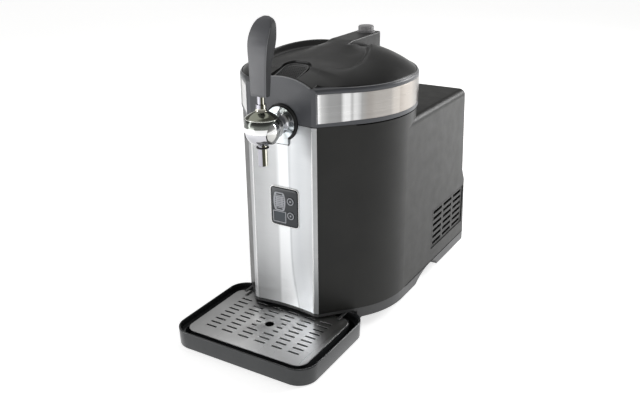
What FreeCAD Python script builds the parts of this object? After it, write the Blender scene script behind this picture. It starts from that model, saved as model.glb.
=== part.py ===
"""Mini keg beer dispenser: a thermoelectric cooler for one 5-litre keg, with a lever tap and a drip tray.

Millimetres. +Z up, -Y is the front. Pieces are drawn about the axis of the keg chamber and written about
the middle of the whole, on the table.
"""

import FreeCAD, Part
import math
import os
import Sketcher

from FreeCAD import Rotation, Vector

DOC = FreeCAD.newDocument("beer_dispenser")
SHEET = DOC.addObject("Spreadsheet::Sheet", "sizes")

# ---------------------------------------------------------------- driving dimensions
SIZES = [
    # cabinet plan: a drum whose straight cheeks run on to two front corners
    ("keg_wall", 34.0, "chamber bore to the outside of the drum"),
    ("front_half", 47.0, "half width of the concave front face"),
    ("front_stand", 3.3, "front corners ahead of the drum's round"),
    ("flange_run", 6.8, "width of the folded strip beside the front face"),
    ("flange_drop", 1.7, "how far that strip falls back"),
    ("face_sag", 4.5, "how far the front face is hollowed"),
    # heights
    ("base_low", 16.0, "underside of the base above the table"),
    ("tray_clear", 1.3, "underside of the base over the drip tray"),
    ("lip_thick", 4.4, "base moulding over the drip tray"),
    ("step_low", 131.0, "foot of the step in the back wall"),
    ("step_rise", 19.0, "height of that step"),
    ("neck_rise", 14.0, "neck of the cabinet over the compartment's flat top"),
    ("parting", 301.5, "top of the cabinet's neck"),
    ("lid_gap", 0.8, "gap under the lid"),
    # rear compartment
    ("rear_length", 130.0, "back wall at its foot behind the drum's round"),
    ("back_lean", 7.5, "lean of the back wall up to the step"),
    ("step_depth", 10.5, "how far the step goes in"),
    ("upper_lean", 11.0, "lean of the back wall over the step"),
    ("rear_round", 12.0, "radius of the rear corners"),
    ("top_round", 10.0, "radius round the top of the compartment"),
    ("shell_wall", 3.0, "wall of the plastic mouldings"),
    ("drum_wall", 6.5, "wall of the drum round the foam"),
    # base
    ("notch_start", 46.0, "front end of the finger notch in the base"),
    ("notch_length", 86.0, "length of the notch"),
    ("notch_crest", 57.0, "highest point of the notch behind its front end"),
    ("notch_rise", 14.0, "height of the notch"),
    ("foot_radius", 14.0, "rubber foot"),
    ("foot_recess", 2.0, "how far a foot sits in the base"),
    ("foot_side", 72.0, "feet from the middle plane"),
    ("foot_front", 56.0, "front feet ahead of the drum axis"),
    ("foot_behind", 49.0, "rear feet ahead of the back wall's foot"),
    # front panel and controls
    ("panel_gauge", 1.2, "stainless sheet"),
    ("panel_gap", 0.2, "clearance behind and over the sheet"),
    ("tap_over", 0.5, "tap's axis over the cabinet's neck"),
    ("keyhole_radius", 25.0, "round opening for the tap flange"),
    ("key_half", 10.2, "half width of the key slot below it"),
    ("key_drop", 31.0, "bottom of the key slot under the tap's axis"),
    ("bezel_half", 21.5, "half width of the control panel"),
    ("bezel_drop", 146.0, "bottom of the control panel under the tap's axis"),
    ("bezel_height", 52.5, "height of the control panel"),
    ("bezel_round", 5.0, "corner radius of the control panel"),
    ("bezel_stand", 1.0, "rear face of the control panel ahead of the hollow face"),
    ("bezel_depth", 2.2, "thickness of the control panel"),
    ("bezel_lip", 2.5, "overlap of the control panel round the board's recess"),
    ("board_thick", 1.6, "circuit board"),
    ("board_floor", 1.5, "housing behind the board"),
    ("button_radius", 4.6, "round buttons"),
    ("button_gap", 0.35, "clearance round a button"),
    ("button_across", 10.5, "buttons from the middle plane"),
    ("button_top", 16.0, "upper button under the control panel's top"),
    ("button_foot", 15.3, "lower button over the control panel's bottom"),
    ("button_proud", 0.7, "how far a button stands out"),
    ("button_length", 3.8, "a button from face to foot"),
    # keg chamber
    ("chamber_radius", 90.0, "bore of the keg chamber"),
    ("chamber_wall", 1.5, "aluminium of the chamber"),
    ("cavity_half", 100.0, "half width of the hollow in the base"),
    ("pedestal_radius", 70.0, "ring in the base that carries the chamber"),
    ("floor_rise", 6.0, "floor under the chamber over the base's joint"),
    ("collar_drop", 4.5, "collar round the chamber's mouth under the cabinet's neck"),
    ("collar_thick", 2.5, "thickness of that collar"),
    ("foam_gap", 0.3, "clearance round the foam"),
    # cooling
    ("cool_level", 108.0, "height of the cooling line's axis"),
    ("cold_half", 34.0, "half width of the cold block"),
    ("cold_stand", 4.0, "rear face of the cold block behind the drum"),
    ("cold_height", 90.0, "height of the cold block"),
    ("peltier_side", 40.0, "thermoelectric module"),
    ("peltier_thick", 4.0, "its thickness"),
    ("sink_width", 104.0, "heat sink"),
    ("sink_height", 110.0, "its height"),
    ("sink_plate", 6.0, "its plate"),
    ("fin_depth", 26.0, "its fins"),
    ("fin_thick", 2.0, "thickness of a fin"),
    ("fan_side", 92.0, "fan frame"),
    ("fan_depth", 25.0, "its depth"),
    ("fan_bore", 43.5, "radius of its air way"),
    ("fan_hub", 18.0, "radius of the rotor's hub"),
    ("fan_tip", 42.3, "radius over the blades"),
    ("fan_pin", 1.5, "radius of the fan's shaft"),
    ("running", 0.05, "radial clearance of a pin in its bore"),
    ("shelf_level", 182.0, "shelf that carries the power supply"),
    ("shelf_thick", 2.0, "its thickness"),
    ("supply_width", 112.0, "power supply"),
    ("supply_depth", 62.0, "its depth"),
    ("supply_height", 44.0, "its height"),
    # vents
    ("vent_length", 130.0, "length of a side vent"),
    ("vent_behind", 20.0, "rear edge of a side vent ahead of the back wall's foot"),
    ("vent_low", 53.0, "bottom edge of a side vent"),
    ("vent_height", 66.0, "height of a side vent"),
    ("vent_sink", 1.2, "how far a vent lies back in the wall"),
    ("vent_plate", 2.4, "thickness of a vent"),
    ("vent_slot", 5.2, "height of a vent slot"),
    ("vent_post", 7.0, "post between two columns of slots"),
    ("outlet_half", 60.0, "half width of the fan outlet"),
    ("outlet_low", 66.0, "bottom of the fan outlet"),
    ("outlet_height", 58.0, "height of the fan outlet"),
    ("inlet_across", 84.0, "mains inlet from the middle plane"),
    ("inlet_half", 15.0, "half width of the mains inlet"),
    ("inlet_low", 44.0, "bottom of the mains inlet"),
    ("inlet_height", 22.0, "height of the mains inlet"),
    # drip tray
    ("tray_half", 110.0, "half width of the tray"),
    ("tray_ahead", 80.6, "tray's front ahead of the spout"),
    ("tray_tuck", 42.3, "how far the tray goes in under the cabinet"),
    ("tray_height", 25.3, "height of the tray"),
    ("tray_round", 27.6, "corner radius of the tray"),
    ("tray_wall", 2.6, "wall of the tray"),
    ("tray_floor", 2.4, "floor of the tray"),
    ("runner_across", 80.0, "runners over the tray from the middle plane"),
    ("runner_width", 4.0, "width of a runner"),
    ("runner_length", 30.0, "length of a runner"),
    ("tray_step", 16.0, "gutter step inside the rim"),
    ("grate_drop", 4.5, "underside of the grate below the tray's rim"),
    ("ledge_width", 13.5, "tray rim to the inside of that ledge"),
    ("ledge_wall", 3.0, "thickness of the ledge"),
    ("grate_side", 15.0, "grate's sides inside the tray's"),
    ("grate_nose", 13.1, "grate's front edge behind the tray's"),
    ("grate_tail", 19.5, "grate's rear edge ahead of the tray's"),
    ("grate_round", 15.0, "corner radius of the grate"),
    ("grate_gauge", 1.5, "stainless plate of the grate"),
    ("slot_length", 17.0, "long slots of the grate"),
    ("slot_width", 3.2, "their width"),
    ("slot_pitch", 27.0, "slots from column to column"),
    ("row_pitch", 10.5, "slots from row to row"),
    ("drain_radius", 6.5, "round hole under the spout"),
    # lid
    ("ring_proud", 1.6, "lid's ring outside the drum"),
    ("ring_rise", 49.5, "top of the ring over the cabinet's neck"),
    ("ring_round", 4.5, "radius of the ring's upper edge"),
    ("ring_wall", 6.1, "wall of the ring"),
    ("rim_width", 3.2, "rim of the ring round the dome"),
    ("rim_depth", 4.0, "how deep the dome sits in the rim"),
    ("arch_rise", 11.2, "rise of the fascia's arched top"),
    ("fascia_wall", 3.0, "wall of the fascia"),
    ("band_rise", 6.5, "lower edge of the steel bands over the cabinet's neck"),
    ("band_width", 36.0, "height of the steel bands"),
    ("band_lead", 13.0, "front end of a band outside the front corner"),
    ("band_end", 70.0, "rear end of a band, degrees behind the drum's widest point"),
    ("band_gauge", 0.8, "steel of a band"),
    ("band_sink", 1.0, "depth of its seat"),
    ("cap_inset", 5.1, "foot of the domed cap inside the ring"),
    ("cap_drop", 1.0, "foot of the cap below the ring's top"),
    ("cap_rise", 32.0, "crown of the cap over its foot"),
    ("dome_wall", 3.0, "wall of the dome"),
    ("scoop_depth", 6.0, "depth of the hollows beside the hood"),
    ("tower_half", 18.0, "half width of the tower at the back of the lid"),
    ("tower_length", 82.0, "tower ahead of the knob"),
    ("tower_round", 3.0, "corner radius of the tower"),
    ("hood_length", 43.3, "rear end of the hood behind the front corners"),
    ("hood_half", 34.0, "half width of the hood's rear end"),
    ("recess_front", 2.0, "fascia to the recess of the push button"),
    ("recess_margin", 3.5, "recess round the push button"),
    ("tower_back", 3.5, "rear face of the tower behind the cap's foot"),
    ("tower_rise", 2.0, "top of the tower over the crown"),
    ("knob_ahead", 14.0, "knob ahead of the tower's rear face"),
    ("knob_radius", 11.8, "knob"),
    ("knob_rise", 9.5, "top of the knob over the tower"),
    ("knob_collar", 13.5, "radius of the ring under the knob"),
    ("knob_rest", 1.4, "height of that ring"),
    ("spindle_radius", 3.0, "spindle of the knob"),
    ("valve_length", 32.0, "underside of the relief valve below the tower's top"),
    # lid inside
    ("plug_gap", 2.0, "plug of the lid inside the chamber's mouth"),
    ("plug_drop", 10.5, "underside of the plug below the cabinet's neck"),
    ("liner_seat", 6.0, "drum of the lid's liner outside the chamber's bore"),
    ("liner_rise", 1.5, "step of the liner over the cabinet's neck"),
    ("liner_room", 15.0, "rim of the liner below the ring's top"),
    ("liner_wall", 2.5, "wall of the liner"),
    # hinge
    ("hinge_stand", 8.0, "hinge pin behind the drum"),
    ("hinge_drop", 5.5, "hinge pin below the cabinet's neck"),
    ("hinge_pin", 2.5, "radius of the hinge pin"),
    ("hinge_across", 18.0, "inner end of a lid knuckle from the middle plane"),
    ("bracket_thick", 2.2, "plate of the hinge bracket"),
    ("knuckle", 5.6, "radius of a hinge knuckle"),
    ("knuckle_length", 12.0, "length of a knuckle"),
    ("knuckle_gap", 0.4, "gap between two knuckles"),
    # latch
    ("latch_half", 18.5, "half width of the push button"),
    ("latch_set", 13.3, "front edge of the push button behind the front corners"),
    ("latch_length", 38.0, "push button from front to rear"),
    ("latch_round", 12.0, "rear corners of the push button"),
    ("latch_gap", 0.8, "gap round the push button"),
    ("bar_set", 21.3, "pin of the latch bar behind the front corners"),
    ("bar_drop", 21.0, "that pin below the ring's top"),
    ("bar_pin", 2.0, "radius of that pin"),
    ("brow_rise", 6.0, "front end of the push button's top over the ring"),
    ("crest_rise", 12.0, "rise of the push button's top to its rear end"),
    ("lug_across", 40.0, "lugs of the latch pin from the middle plane"),
    ("lug_wall", 3.0, "thickness of a lug"),
    ("hook_across", 32.0, "hooks from the middle plane"),
    ("hook_width", 8.0, "width of a hook"),
    ("hook_rise", 3.0, "bottom of a hook over the chamber's collar"),
    ("hook_nose", 0.9, "tip of a hook ahead of its pin"),
    ("tab_half", 5.0, "half width of the latch bar's tab"),
    ("tab_reach", 12.0, "tab of the latch bar ahead of the pin"),
    ("tab_thick", 3.0, "thickness of that tab"),
    ("tab_end", 0.8, "end of the tab ahead of the push button's leg"),
    ("leg_nose", 1.9, "tip of the push button's leg on the tab"),
    ("leg_wall", 2.5, "wall of the push button's leg"),
    ("keeper_reach", 2.3, "length of a keeper's tooth"),
    ("keeper_wall", 1.6, "metal of a keeper"),
    ("hook_thick", 3.6, "thickness of a hook's arm"),
    # tap
    ("tap_stand", 41.7, "middle of the tap's ball ahead of the front corners"),
    ("ball_radius", 20.4, "ball of the tap"),
    ("hood_gap", 0.4, "clearance between ball and hood"),
    ("hood_wall", 1.6, "wall of the lever's hood"),
    ("hood_low", 3.0, "lower edge of the hood above the ball's middle"),
    ("neck_radius", 11.0, "neck behind the ball"),
    ("flange_radius", 21.8, "wall flange of the tap"),
    ("flange_thick", 6.5, "its thickness"),
    ("flange_stand", 1.2, "flange's rear face ahead of the housing"),
    ("shank_radius", 8.0, "threaded shank through the wall"),
    ("shank_inside", 9.5, "inner end of the shank inside the drum's wall"),
    ("nut_radius", 14.0, "shank nut over its corners"),
    ("nut_thick", 6.0, "its thickness"),
    ("barb_length", 9.5, "hose barb"),
    ("nozzle_radius", 6.2, "spout of the tap"),
    ("nozzle_bore", 4.2, "bore of the spout"),
    ("spout_drop", 45.5, "end of the spout below the tap's axis"),
    ("stem_radius", 4.6, "stem of the lever"),
    ("sleeve_radius", 6.4, "sleeve over the stem's foot"),
    ("sleeve_rise", 34.5, "top of the sleeve over the tap's axis"),
    ("pivot_radius", 2.5, "pivot pin of the lever"),
    ("finger_length", 9.0, "lever's finger below the pivot"),
    ("collar_radius", 17.0, "ring behind the ball"),
    ("collar_set", 3.0, "ring behind the ball, inside the ball's round"),
    ("collar_length", 6.0, "its length"),
    ("barb_radius", 5.6, "hose barb"),
    ("plunger_length", 24.0, "valve plunger, end to end"),
    ("hood_back", 13.0, "rear edge of the hood behind the ball's middle"),
    ("plunger_radius", 2.6, "valve plunger"),
    ("grip_rise", 10.0, "foot of the handle over the sleeve"),
    ("grip_length", 95.0, "handle from foot to top"),
    ("grip_ahead", 3.0, "middle of the handle's foot ahead of the stem"),
    ("grip_half", 12.0, "half width of the handle's foot"),
    ("lever_swing", 35.0, "degrees that the lever tilts forward"),
    ("grip_deep", 5.2, "half depth of the handle's foot"),
    ("grip_lean", 14.0, "how far the handle's top leans back"),
]

for row, (alias, number, meaning) in enumerate(SIZES, start=1):
    SHEET.set(f"A{row}", meaning)
    SHEET.set(f"B{row}", str(number))
    SHEET.setAlias(f"B{row}", alias)
DOC.recompute()


class Size:
    """A length or angle: its number, and the sheet expression that gives it."""

    def __init__(self, number, text):
        self.number = float(number)
        self.text = text

    def __float__(self):
        return self.number

    def __add__(self, other):
        other = size(other)
        return Size(self.number + other.number, f"({self.text} + {other.text})")

    def __radd__(self, other):
        return size(other) + self

    def __sub__(self, other):
        other = size(other)
        return Size(self.number - other.number, f"({self.text} - {other.text})")

    def __rsub__(self, other):
        return size(other) - self

    def __mul__(self, other):
        other = size(other)
        return Size(self.number * other.number, f"({self.text} * {other.text})")

    def __rmul__(self, other):
        return size(other) * self

    def __truediv__(self, other):
        other = size(other)
        return Size(self.number / other.number, f"({self.text} / {other.text})")

    def __rtruediv__(self, other):
        return size(other) / self

    def __neg__(self):
        return Size(-self.number, f"(0 - {self.text})")


def size(value):
    """value as a Size: a plain number stands for itself."""
    return value if isinstance(value, Size) else Size(value, f"{float(value):.6f}")


def root(value):
    return Size(math.sqrt(value.number), f"sqrt({value.text})")


def sine(degrees):
    degrees = size(degrees)
    return Size(math.sin(math.radians(degrees.number)), f"sin({degrees.text})")


def cosine(degrees):
    degrees = size(degrees)
    return Size(math.cos(math.radians(degrees.number)), f"cos({degrees.text})")


def arctan(ratio):
    return Size(math.degrees(math.atan(ratio.number)), f"(atan({ratio.text}) / 1 deg)")


def arccos(ratio):
    return Size(math.degrees(math.acos(ratio.number)), f"(acos({ratio.text}) / 1 deg)")


class Sheet:
    """The sheet's cells as attributes."""

    def __init__(self, sheet, rows):
        for alias, _, _ in rows:
            setattr(self, alias, Size(sheet.get(alias), f"sizes.{alias}"))


s = Sheet(SHEET, SIZES)

# ---------------------------------------------------------------- sizes that follow from others
# plan, from the drum's axis
s.body_radius = s.chamber_radius + s.keg_wall
s.front_reach = s.body_radius + s.front_stand
s.face_reach = s.front_reach - s.face_sag
s.cavity_radius = s.body_radius - s.drum_wall
s.rear_foot = s.body_radius + s.rear_length
s.rear_low = s.rear_foot - s.back_lean
s.rear_high = s.rear_low - s.step_depth
s.rear_top = s.rear_high - s.upper_lean
s.notch_end = s.notch_start + s.notch_length
s.notch_peak = s.notch_start + s.notch_crest
s.foot_rear = s.rear_foot - s.foot_behind
s.bezel_back = s.face_reach + s.bezel_stand
s.cold_back = s.body_radius + s.cold_stand
s.vent_rear = s.rear_foot - s.vent_behind
s.vent_front = s.vent_rear - s.vent_length
s.ring_radius = s.body_radius + s.ring_proud
s.ring_bore = s.ring_radius - s.ring_wall
s.cap_radius = s.ring_radius - s.cap_inset
s.band_start = s.front_half + s.band_lead
s.hood_end = s.front_reach - s.hood_length
s.tower_rear = s.cap_radius + s.tower_back
s.knob_along = s.tower_rear - s.knob_ahead
s.plug_radius = s.chamber_radius - s.plug_gap
s.liner_radius = s.chamber_radius + s.liner_seat
s.hinge_along = s.body_radius + s.hinge_stand
s.latch_front = s.front_reach - s.latch_set
s.latch_rear = s.latch_front - s.latch_length
s.bar_along = s.front_reach - s.bar_set
s.tap_reach = s.front_reach + s.tap_stand
s.flange_back = s.face_reach - s.panel_gauge - s.panel_gap + s.flange_stand
s.shank_end = s.cavity_radius - s.shank_inside
s.barb_end = s.shank_end - s.barb_length
s.collar_along = s.tap_reach - s.ball_radius + s.collar_set
s.tray_front = s.tap_reach + s.tray_ahead
s.tray_rear = s.front_reach - s.tray_tuck
s.grate_half = s.tray_half - s.grate_side
s.grate_front = s.tray_front - s.grate_nose
s.grate_rear = s.tray_rear + s.grate_tail
# heights
s.lip_low = s.tray_height + s.tray_clear
s.ledge_high = s.tray_height - s.grate_drop
s.seam_level = s.lip_low + s.lip_thick
s.panel_low = s.seam_level + s.panel_gap
s.chamber_floor = s.seam_level + s.floor_rise
s.step_high = s.step_low + s.step_rise
s.box_top = s.parting - s.neck_rise
s.collar_high = s.parting - s.collar_drop
s.vent_high = s.vent_low + s.vent_height
s.outlet_high = s.outlet_low + s.outlet_height
s.tap_level = s.parting + s.tap_over
s.key_low = s.tap_level - s.key_drop
s.bezel_low = s.tap_level - s.bezel_drop
s.bezel_high = s.bezel_low + s.bezel_height
s.button_high = s.bezel_high - s.button_top
s.button_low = s.bezel_low + s.button_foot
s.ring_high = s.parting + s.ring_rise
s.band_low = s.parting + s.band_rise
s.band_high = s.band_low + s.band_width
s.cap_low = s.ring_high - s.cap_drop
s.cap_high = s.cap_low + s.cap_rise
s.tower_high = s.cap_high + s.tower_rise
s.knob_high = s.tower_high + s.knob_rise
s.valve_low = s.tower_high - s.valve_length
s.plug_low = s.parting - s.plug_drop
s.liner_step = s.parting + s.liner_rise
s.liner_high = s.ring_high - s.liner_room
s.hinge_level = s.parting - s.hinge_drop
s.bar_level = s.ring_high - s.bar_drop
s.button_brow = s.ring_high + s.brow_rise
s.button_crest = s.button_brow + s.crest_rise
s.hook_low = s.collar_high + s.hook_rise
s.nozzle_low = s.tap_level - s.spout_drop
s.sleeve_high = s.tap_level + s.sleeve_rise
s.grip_low = s.sleeve_high + s.grip_rise
s.grip_high = s.grip_low + s.grip_length


# ---------------------------------------------------------------- drawing helpers
def bind(feature, prop, value):
    """Ties one property to the sheet."""
    feature.setExpression(prop, size(value).text)


def place(feature, x=0.0, y=0.0, z=0.0, turn=None):
    """Puts a feature at a point bound to the sheet; turn is a Rotation."""
    if turn is not None:
        feature.Placement = FreeCAD.Placement(Vector(float(x), float(y), float(z)), turn)
    for axis, value in zip("xyz", (x, y, z)):
        if isinstance(value, Size) or value:
            bind(feature, f"Placement.Base.{axis}", value)
    return feature


ALONG = {
    "z": Rotation(),
    "y": Rotation(Vector(1, 0, 0), -90),
    "x": Rotation(Vector(0, 1, 0), 90),
}


def cylinder(name, radius, length, x=0.0, y=0.0, z=0.0, along="z"):
    """A cylinder that starts at the point and runs along +axis."""
    feature = DOC.addObject("Part::Cylinder", name)
    bind(feature, "Radius", radius)
    bind(feature, "Height", length)
    return place(feature, x, y, z, ALONG[along])


def cone(name, radius, end_radius, length, x=0.0, y=0.0, z=0.0, along="z"):
    feature = DOC.addObject("Part::Cone", name)
    bind(feature, "Radius1", radius)
    bind(feature, "Radius2", end_radius)
    bind(feature, "Height", length)
    return place(feature, x, y, z, ALONG[along])


def ball(name, radius, x=0.0, y=0.0, z=0.0):
    feature = DOC.addObject("Part::Sphere", name)
    bind(feature, "Radius", radius)
    return place(feature, x, y, z, ALONG["z"])


def torus(name, radius, thickness, x=0.0, y=0.0, z=0.0, along="z"):
    """A ring; thickness is the radius of its section."""
    feature = DOC.addObject("Part::Torus", name)
    bind(feature, "Radius1", radius)
    bind(feature, "Radius2", thickness)
    return place(feature, x, y, z, ALONG[along])


def box(name, low, high):
    """A box between two corners, each a triple."""
    feature = DOC.addObject("Part::Box", name)
    for prop, a, b in zip(("Length", "Width", "Height"), low, high):
        bind(feature, prop, size(b) - a)
    return place(feature, *low, turn=ALONG["z"])


def joined(name, parts):
    feature = DOC.addObject("Part::MultiFuse", name)
    feature.Shapes = parts
    feature.Refine = True
    return feature


def cut(name, base, tools):
    """base less one tool, or several joined first."""
    feature = DOC.addObject("Part::Cut", name)
    feature.Base = base
    feature.Tool = tools[0] if len(tools) == 1 else joined(f"{name}_cuts", tools)
    feature.Refine = True
    return feature


def common(name, first, second):
    feature = DOC.addObject("Part::Common", name)
    feature.Base = first
    feature.Tool = second
    return feature


def tube(name, radius, bore, length, x=0.0, y=0.0, z=0.0, along="z"):
    """A round tube."""
    outside = cylinder(f"{name}_outside", radius, length, x, y, z, along)
    inside = cylinder(f"{name}_inside", bore, length, x, y, z, along)
    return cut(name, outside, [inside])


def group(name, features):
    """Separate equal solids under one name."""
    feature = DOC.addObject("Part::Compound", name)
    feature.Links = features
    return feature


def draw(sketch, corners):
    """A closed outline. A corner is (x, y), or (x, y, radius) where an arc leads on from it:
    a positive radius turns counter-clockwise and a negative one clockwise."""
    count = len(corners)
    ends = []
    for here, there in zip(corners, corners[1:] + corners[:1]):
        start = Vector(float(here[0]), float(here[1]), 0)
        end = Vector(float(there[0]), float(there[1]), 0)
        if len(here) == 2:
            ends.append((sketch.addGeometry(Part.LineSegment(start, end), False), 1, 2))
            continue
        radius = float(here[2])
        chord = end - start
        height = math.sqrt(max(radius**2 - chord.Length**2 / 4, 0.0))
        side = Vector(-chord.y, chord.x, 0).normalize() * math.copysign(height, radius)
        centre = start + chord * 0.5 + side
        first, last = (start, end) if radius > 0 else (end, start)
        angles = [math.atan2(p.y - centre.y, p.x - centre.x) for p in (first, last)]
        circle = Part.Circle(centre, Vector(0, 0, 1), abs(radius))
        arc = sketch.addGeometry(Part.ArcOfCircle(circle, *angles), False)
        ends.append((arc, 1, 2) if radius > 0 else (arc, 2, 1))
    for index, corner in enumerate(corners):
        item, start, end = ends[index]
        following = ends[(index + 1) % count]
        sketch.addConstraint(Sketcher.Constraint("Coincident", item, end, following[0], following[1]))
        hold_point(sketch, item, start, corner[0], corner[1])
        if len(corner) == 3:
            hold_value(sketch, Sketcher.Constraint("Radius", item, abs(float(corner[2]))),
                       corner[2] if float(corner[2]) > 0 else -size(corner[2]))


def hold_value(sketch, constraint, value):
    """Adds a constraint and ties its value to the sheet."""
    index = sketch.addConstraint(constraint)
    if isinstance(value, Size):
        sketch.setExpression(f"Constraints[{index}]", value.text)


def hold_point(sketch, item, point, x, y):
    """Fixes one point of a sketch by its two coordinates."""
    hold_value(sketch, Sketcher.Constraint("DistanceX", -1, 1, item, point, float(x)), x)
    hold_value(sketch, Sketcher.Constraint("DistanceY", -1, 1, item, point, float(y)), y)


def draw_circle(sketch, x, y, radius):
    circle = Part.Circle(Vector(float(x), float(y), 0), Vector(0, 0, 1), float(radius))
    item = sketch.addGeometry(circle, False)
    hold_point(sketch, item, 3, x, y)
    hold_value(sketch, Sketcher.Constraint("Radius", item, float(radius)), radius)


def draw_box(sketch, x0, y0, x1, y1):
    draw(sketch, [(x0, y0), (x1, y0), (x1, y1), (x0, y1)])


def rounded(x0, y0, x1, y1, radius):
    """Corners of a rectangle with round corners, counter-clockwise."""
    return [
        (x0 + radius, y0), (x1 - radius, y0, radius),
        (x1, y0 + radius), (x1, y1 - radius, radius),
        (x1 - radius, y1), (x0 + radius, y1, radius),
        (x0, y1 - radius), (x0, y0 + radius, radius),
    ]


class Moulding:
    """A PartDesign body, built feature by feature."""

    def __init__(self, label):
        self.body = DOC.addObject("PartDesign::Body", label)
        self.body.Label = label
        self.count = 0

    def name(self, kind):
        self.count += 1
        return f"{self.body.Label}_{kind}_{self.count}"

    def sketch(self, plane, at=0.0):
        """A sketch on one of the body's own planes, moved along it to at: XY to a height,
        XZ to a y and YZ to an x."""
        drawing = self.body.newObject("Sketcher::SketchObject", self.name("sketch"))
        for datum in self.body.Origin.OriginFeatures:
            if datum.Role == f"{plane}_Plane":
                drawing.AttachmentSupport = [(datum, "")]
        drawing.MapMode = "FlatFace"
        offset = -size(at) if plane == "XZ" else at
        if isinstance(offset, Size) or offset:
            bind(drawing, "AttachmentOffset.Base.z", offset)
        return drawing

    def feature(self, kind, profile):
        feature = self.body.newObject(f"PartDesign::{kind}", self.name(kind.lower()))
        feature.Profile = profile
        profile.Visibility = False
        return feature

    def pad(self, profile, length, back=False, midplane=False):
        feature = self.feature("Pad", profile)
        bind(feature, "Length", length)
        feature.Reversed = back
        feature.Midplane = midplane
        return feature

    def pocket(self, profile, depth, back=False, midplane=False):
        """Cuts against the sketch's normal, or along it where back is set."""
        feature = self.feature("Pocket", profile)
        bind(feature, "Length", depth)
        feature.Reversed = back
        feature.Midplane = midplane
        return feature

    def revolve(self, profile, axis="V_Axis", kind="Revolution"):
        feature = self.feature(kind, profile)
        feature.ReferenceAxis = (profile, [axis])
        feature.Angle = 360
        return feature

    def loft(self, profiles, ruled=False, kind="AdditiveLoft"):
        feature = self.feature(kind, profiles[0])
        feature.Sections = profiles[1:]
        feature.Ruled = ruled
        return feature

    def fillet(self, radius, chosen, kind="Fillet"):
        """Rounds the edges of the body that chosen(edge) picks."""
        DOC.recompute()
        tip = self.body.Tip
        names = [f"Edge{i}" for i, edge in enumerate(tip.Shape.Edges, 1) if chosen(edge)]
        feature = self.body.newObject(f"PartDesign::{kind}", self.name(kind.lower()))
        feature.Base = (tip, names)
        bind(feature, "Radius" if kind == "Fillet" else "Size", radius)
        return feature

    def repeat(self, features, profile, direction, length, count):
        """A row of copies of features along an axis of a sketch."""
        row = self.body.newObject("PartDesign::LinearPattern", self.name("row"))
        row.Originals = features
        row.Direction = (profile, [direction])
        bind(row, "Length", length)
        row.Occurrences = count
        self.body.Tip = row
        return row


# ---------------------------------------------------------------- the plan of cabinet and lid
def tangent_angle(radius, corner_x, corner_y):
    """Degrees ahead of the drum's widest point where the line to a corner leaves the circle."""
    reach = root(corner_x * corner_x + corner_y * corner_y)
    return arctan(corner_y / corner_x) - arccos(radius / reach)


def front_outline(radius, inset=0.0):
    """The front half of the plan, from the left tangent point round the face to the right one.
    inset draws it smaller by that much."""
    corner = s.front_half - size(inset) * 0.7
    corner_y = s.front_reach - inset
    edge = s.front_half + s.flange_run - inset
    edge_y = s.front_reach - s.flange_drop - inset
    sag_radius = (s.front_half * s.front_half + s.face_sag * s.face_sag) / (2 * s.face_sag)
    angle = tangent_angle(radius, edge, edge_y)
    side = radius * cosine(angle)
    side_y = -(radius * sine(angle))
    return [
        (-side, side_y), (-edge, -edge_y), (-corner, -corner_y, -sag_radius),
        (corner, -corner_y), (edge, -edge_y), (side, side_y, radius),
    ]


def keel(radius, inset=0.0):
    """The plan of the neck and the lid: the front outline closed by the round of the drum."""
    return front_outline(radius, inset) + [(0.0, radius, radius)]


def hull(radius, rear):
    """The plan of base and housing: drum in front, square compartment behind."""
    corner = s.rear_round
    return front_outline(radius) + [
        (radius, 0.0), (radius, rear - corner, corner),
        (radius - corner, rear), (corner - radius, rear, corner),
        (-radius, rear - corner), (-radius, 0.0, radius),
    ]


# ---------------------------------------------------------------- base
def make_base_pan():
    """Base moulding: stepped up over the drip tray, with a finger notch in each side."""
    base = Moulding("base_pan")
    plan = base.sketch("XY", s.base_low)
    draw(plan, hull(s.body_radius, s.rear_foot))
    base.pad(plan, s.seam_level - s.base_low)
    over_tray = base.sketch("XY", s.base_low)
    draw_box(over_tray, -s.body_radius, -(s.front_reach + 5), s.body_radius, 2 - s.tray_rear)
    base.pocket(over_tray, s.lip_low - s.base_low, back=True)
    hollow = base.sketch("XY", s.seam_level)
    draw(hollow, rounded(-s.cavity_half, s.pedestal_radius + 25, s.cavity_half,
                         s.rear_foot - 3 * s.shell_wall, s.rear_round))
    base.pocket(hollow, s.seam_level - s.base_low - s.shell_wall)
    under = base.sketch("XY", s.seam_level)
    draw_circle(under, 0, 0, s.pedestal_radius + 8)
    base.pocket(under, s.seam_level - s.base_low - s.shell_wall)
    ring = base.sketch("XY", s.base_low + s.shell_wall / 2)
    draw_circle(ring, 0, 0, s.pedestal_radius)
    draw_circle(ring, 0, 0, s.pedestal_radius - s.shell_wall)
    base.pad(ring, s.chamber_floor - s.base_low - s.shell_wall / 2)
    depth = s.body_radius - s.cavity_half - s.shell_wall
    for side in (1, -1):
        notch = base.sketch("YZ", side * s.body_radius)
        low = s.base_low - 1
        draw(notch, [
            (s.notch_start, low), (s.notch_end, low, (s.notch_end - s.notch_peak) * 0.85),
            (s.notch_peak, s.base_low + s.notch_rise, (s.notch_peak - s.notch_start) * 2),
        ])
        base.pocket(notch, depth, back=side < 0)
    seats = base.sketch("XY", s.base_low)
    for x, y in foot_places():
        draw_circle(seats, x, y, s.foot_radius + s.panel_gap)
    base.pocket(seats, s.foot_recess, back=True)
    runners = base.sketch("XY", s.tray_height + s.foam_gap)
    for side in (1, -1):
        x = side * s.runner_across
        draw_box(runners, x - s.runner_width / 2, -s.tray_rear - s.runner_length, x + s.runner_width / 2,
                 -s.tray_rear - 1)
    base.pad(runners, s.lip_low - s.tray_height)
    return base.body


def foot_places():
    return [
        (side * s.foot_side, y)
        for y in (-s.foot_front, s.foot_rear) for side in (1, -1)
    ]


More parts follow.
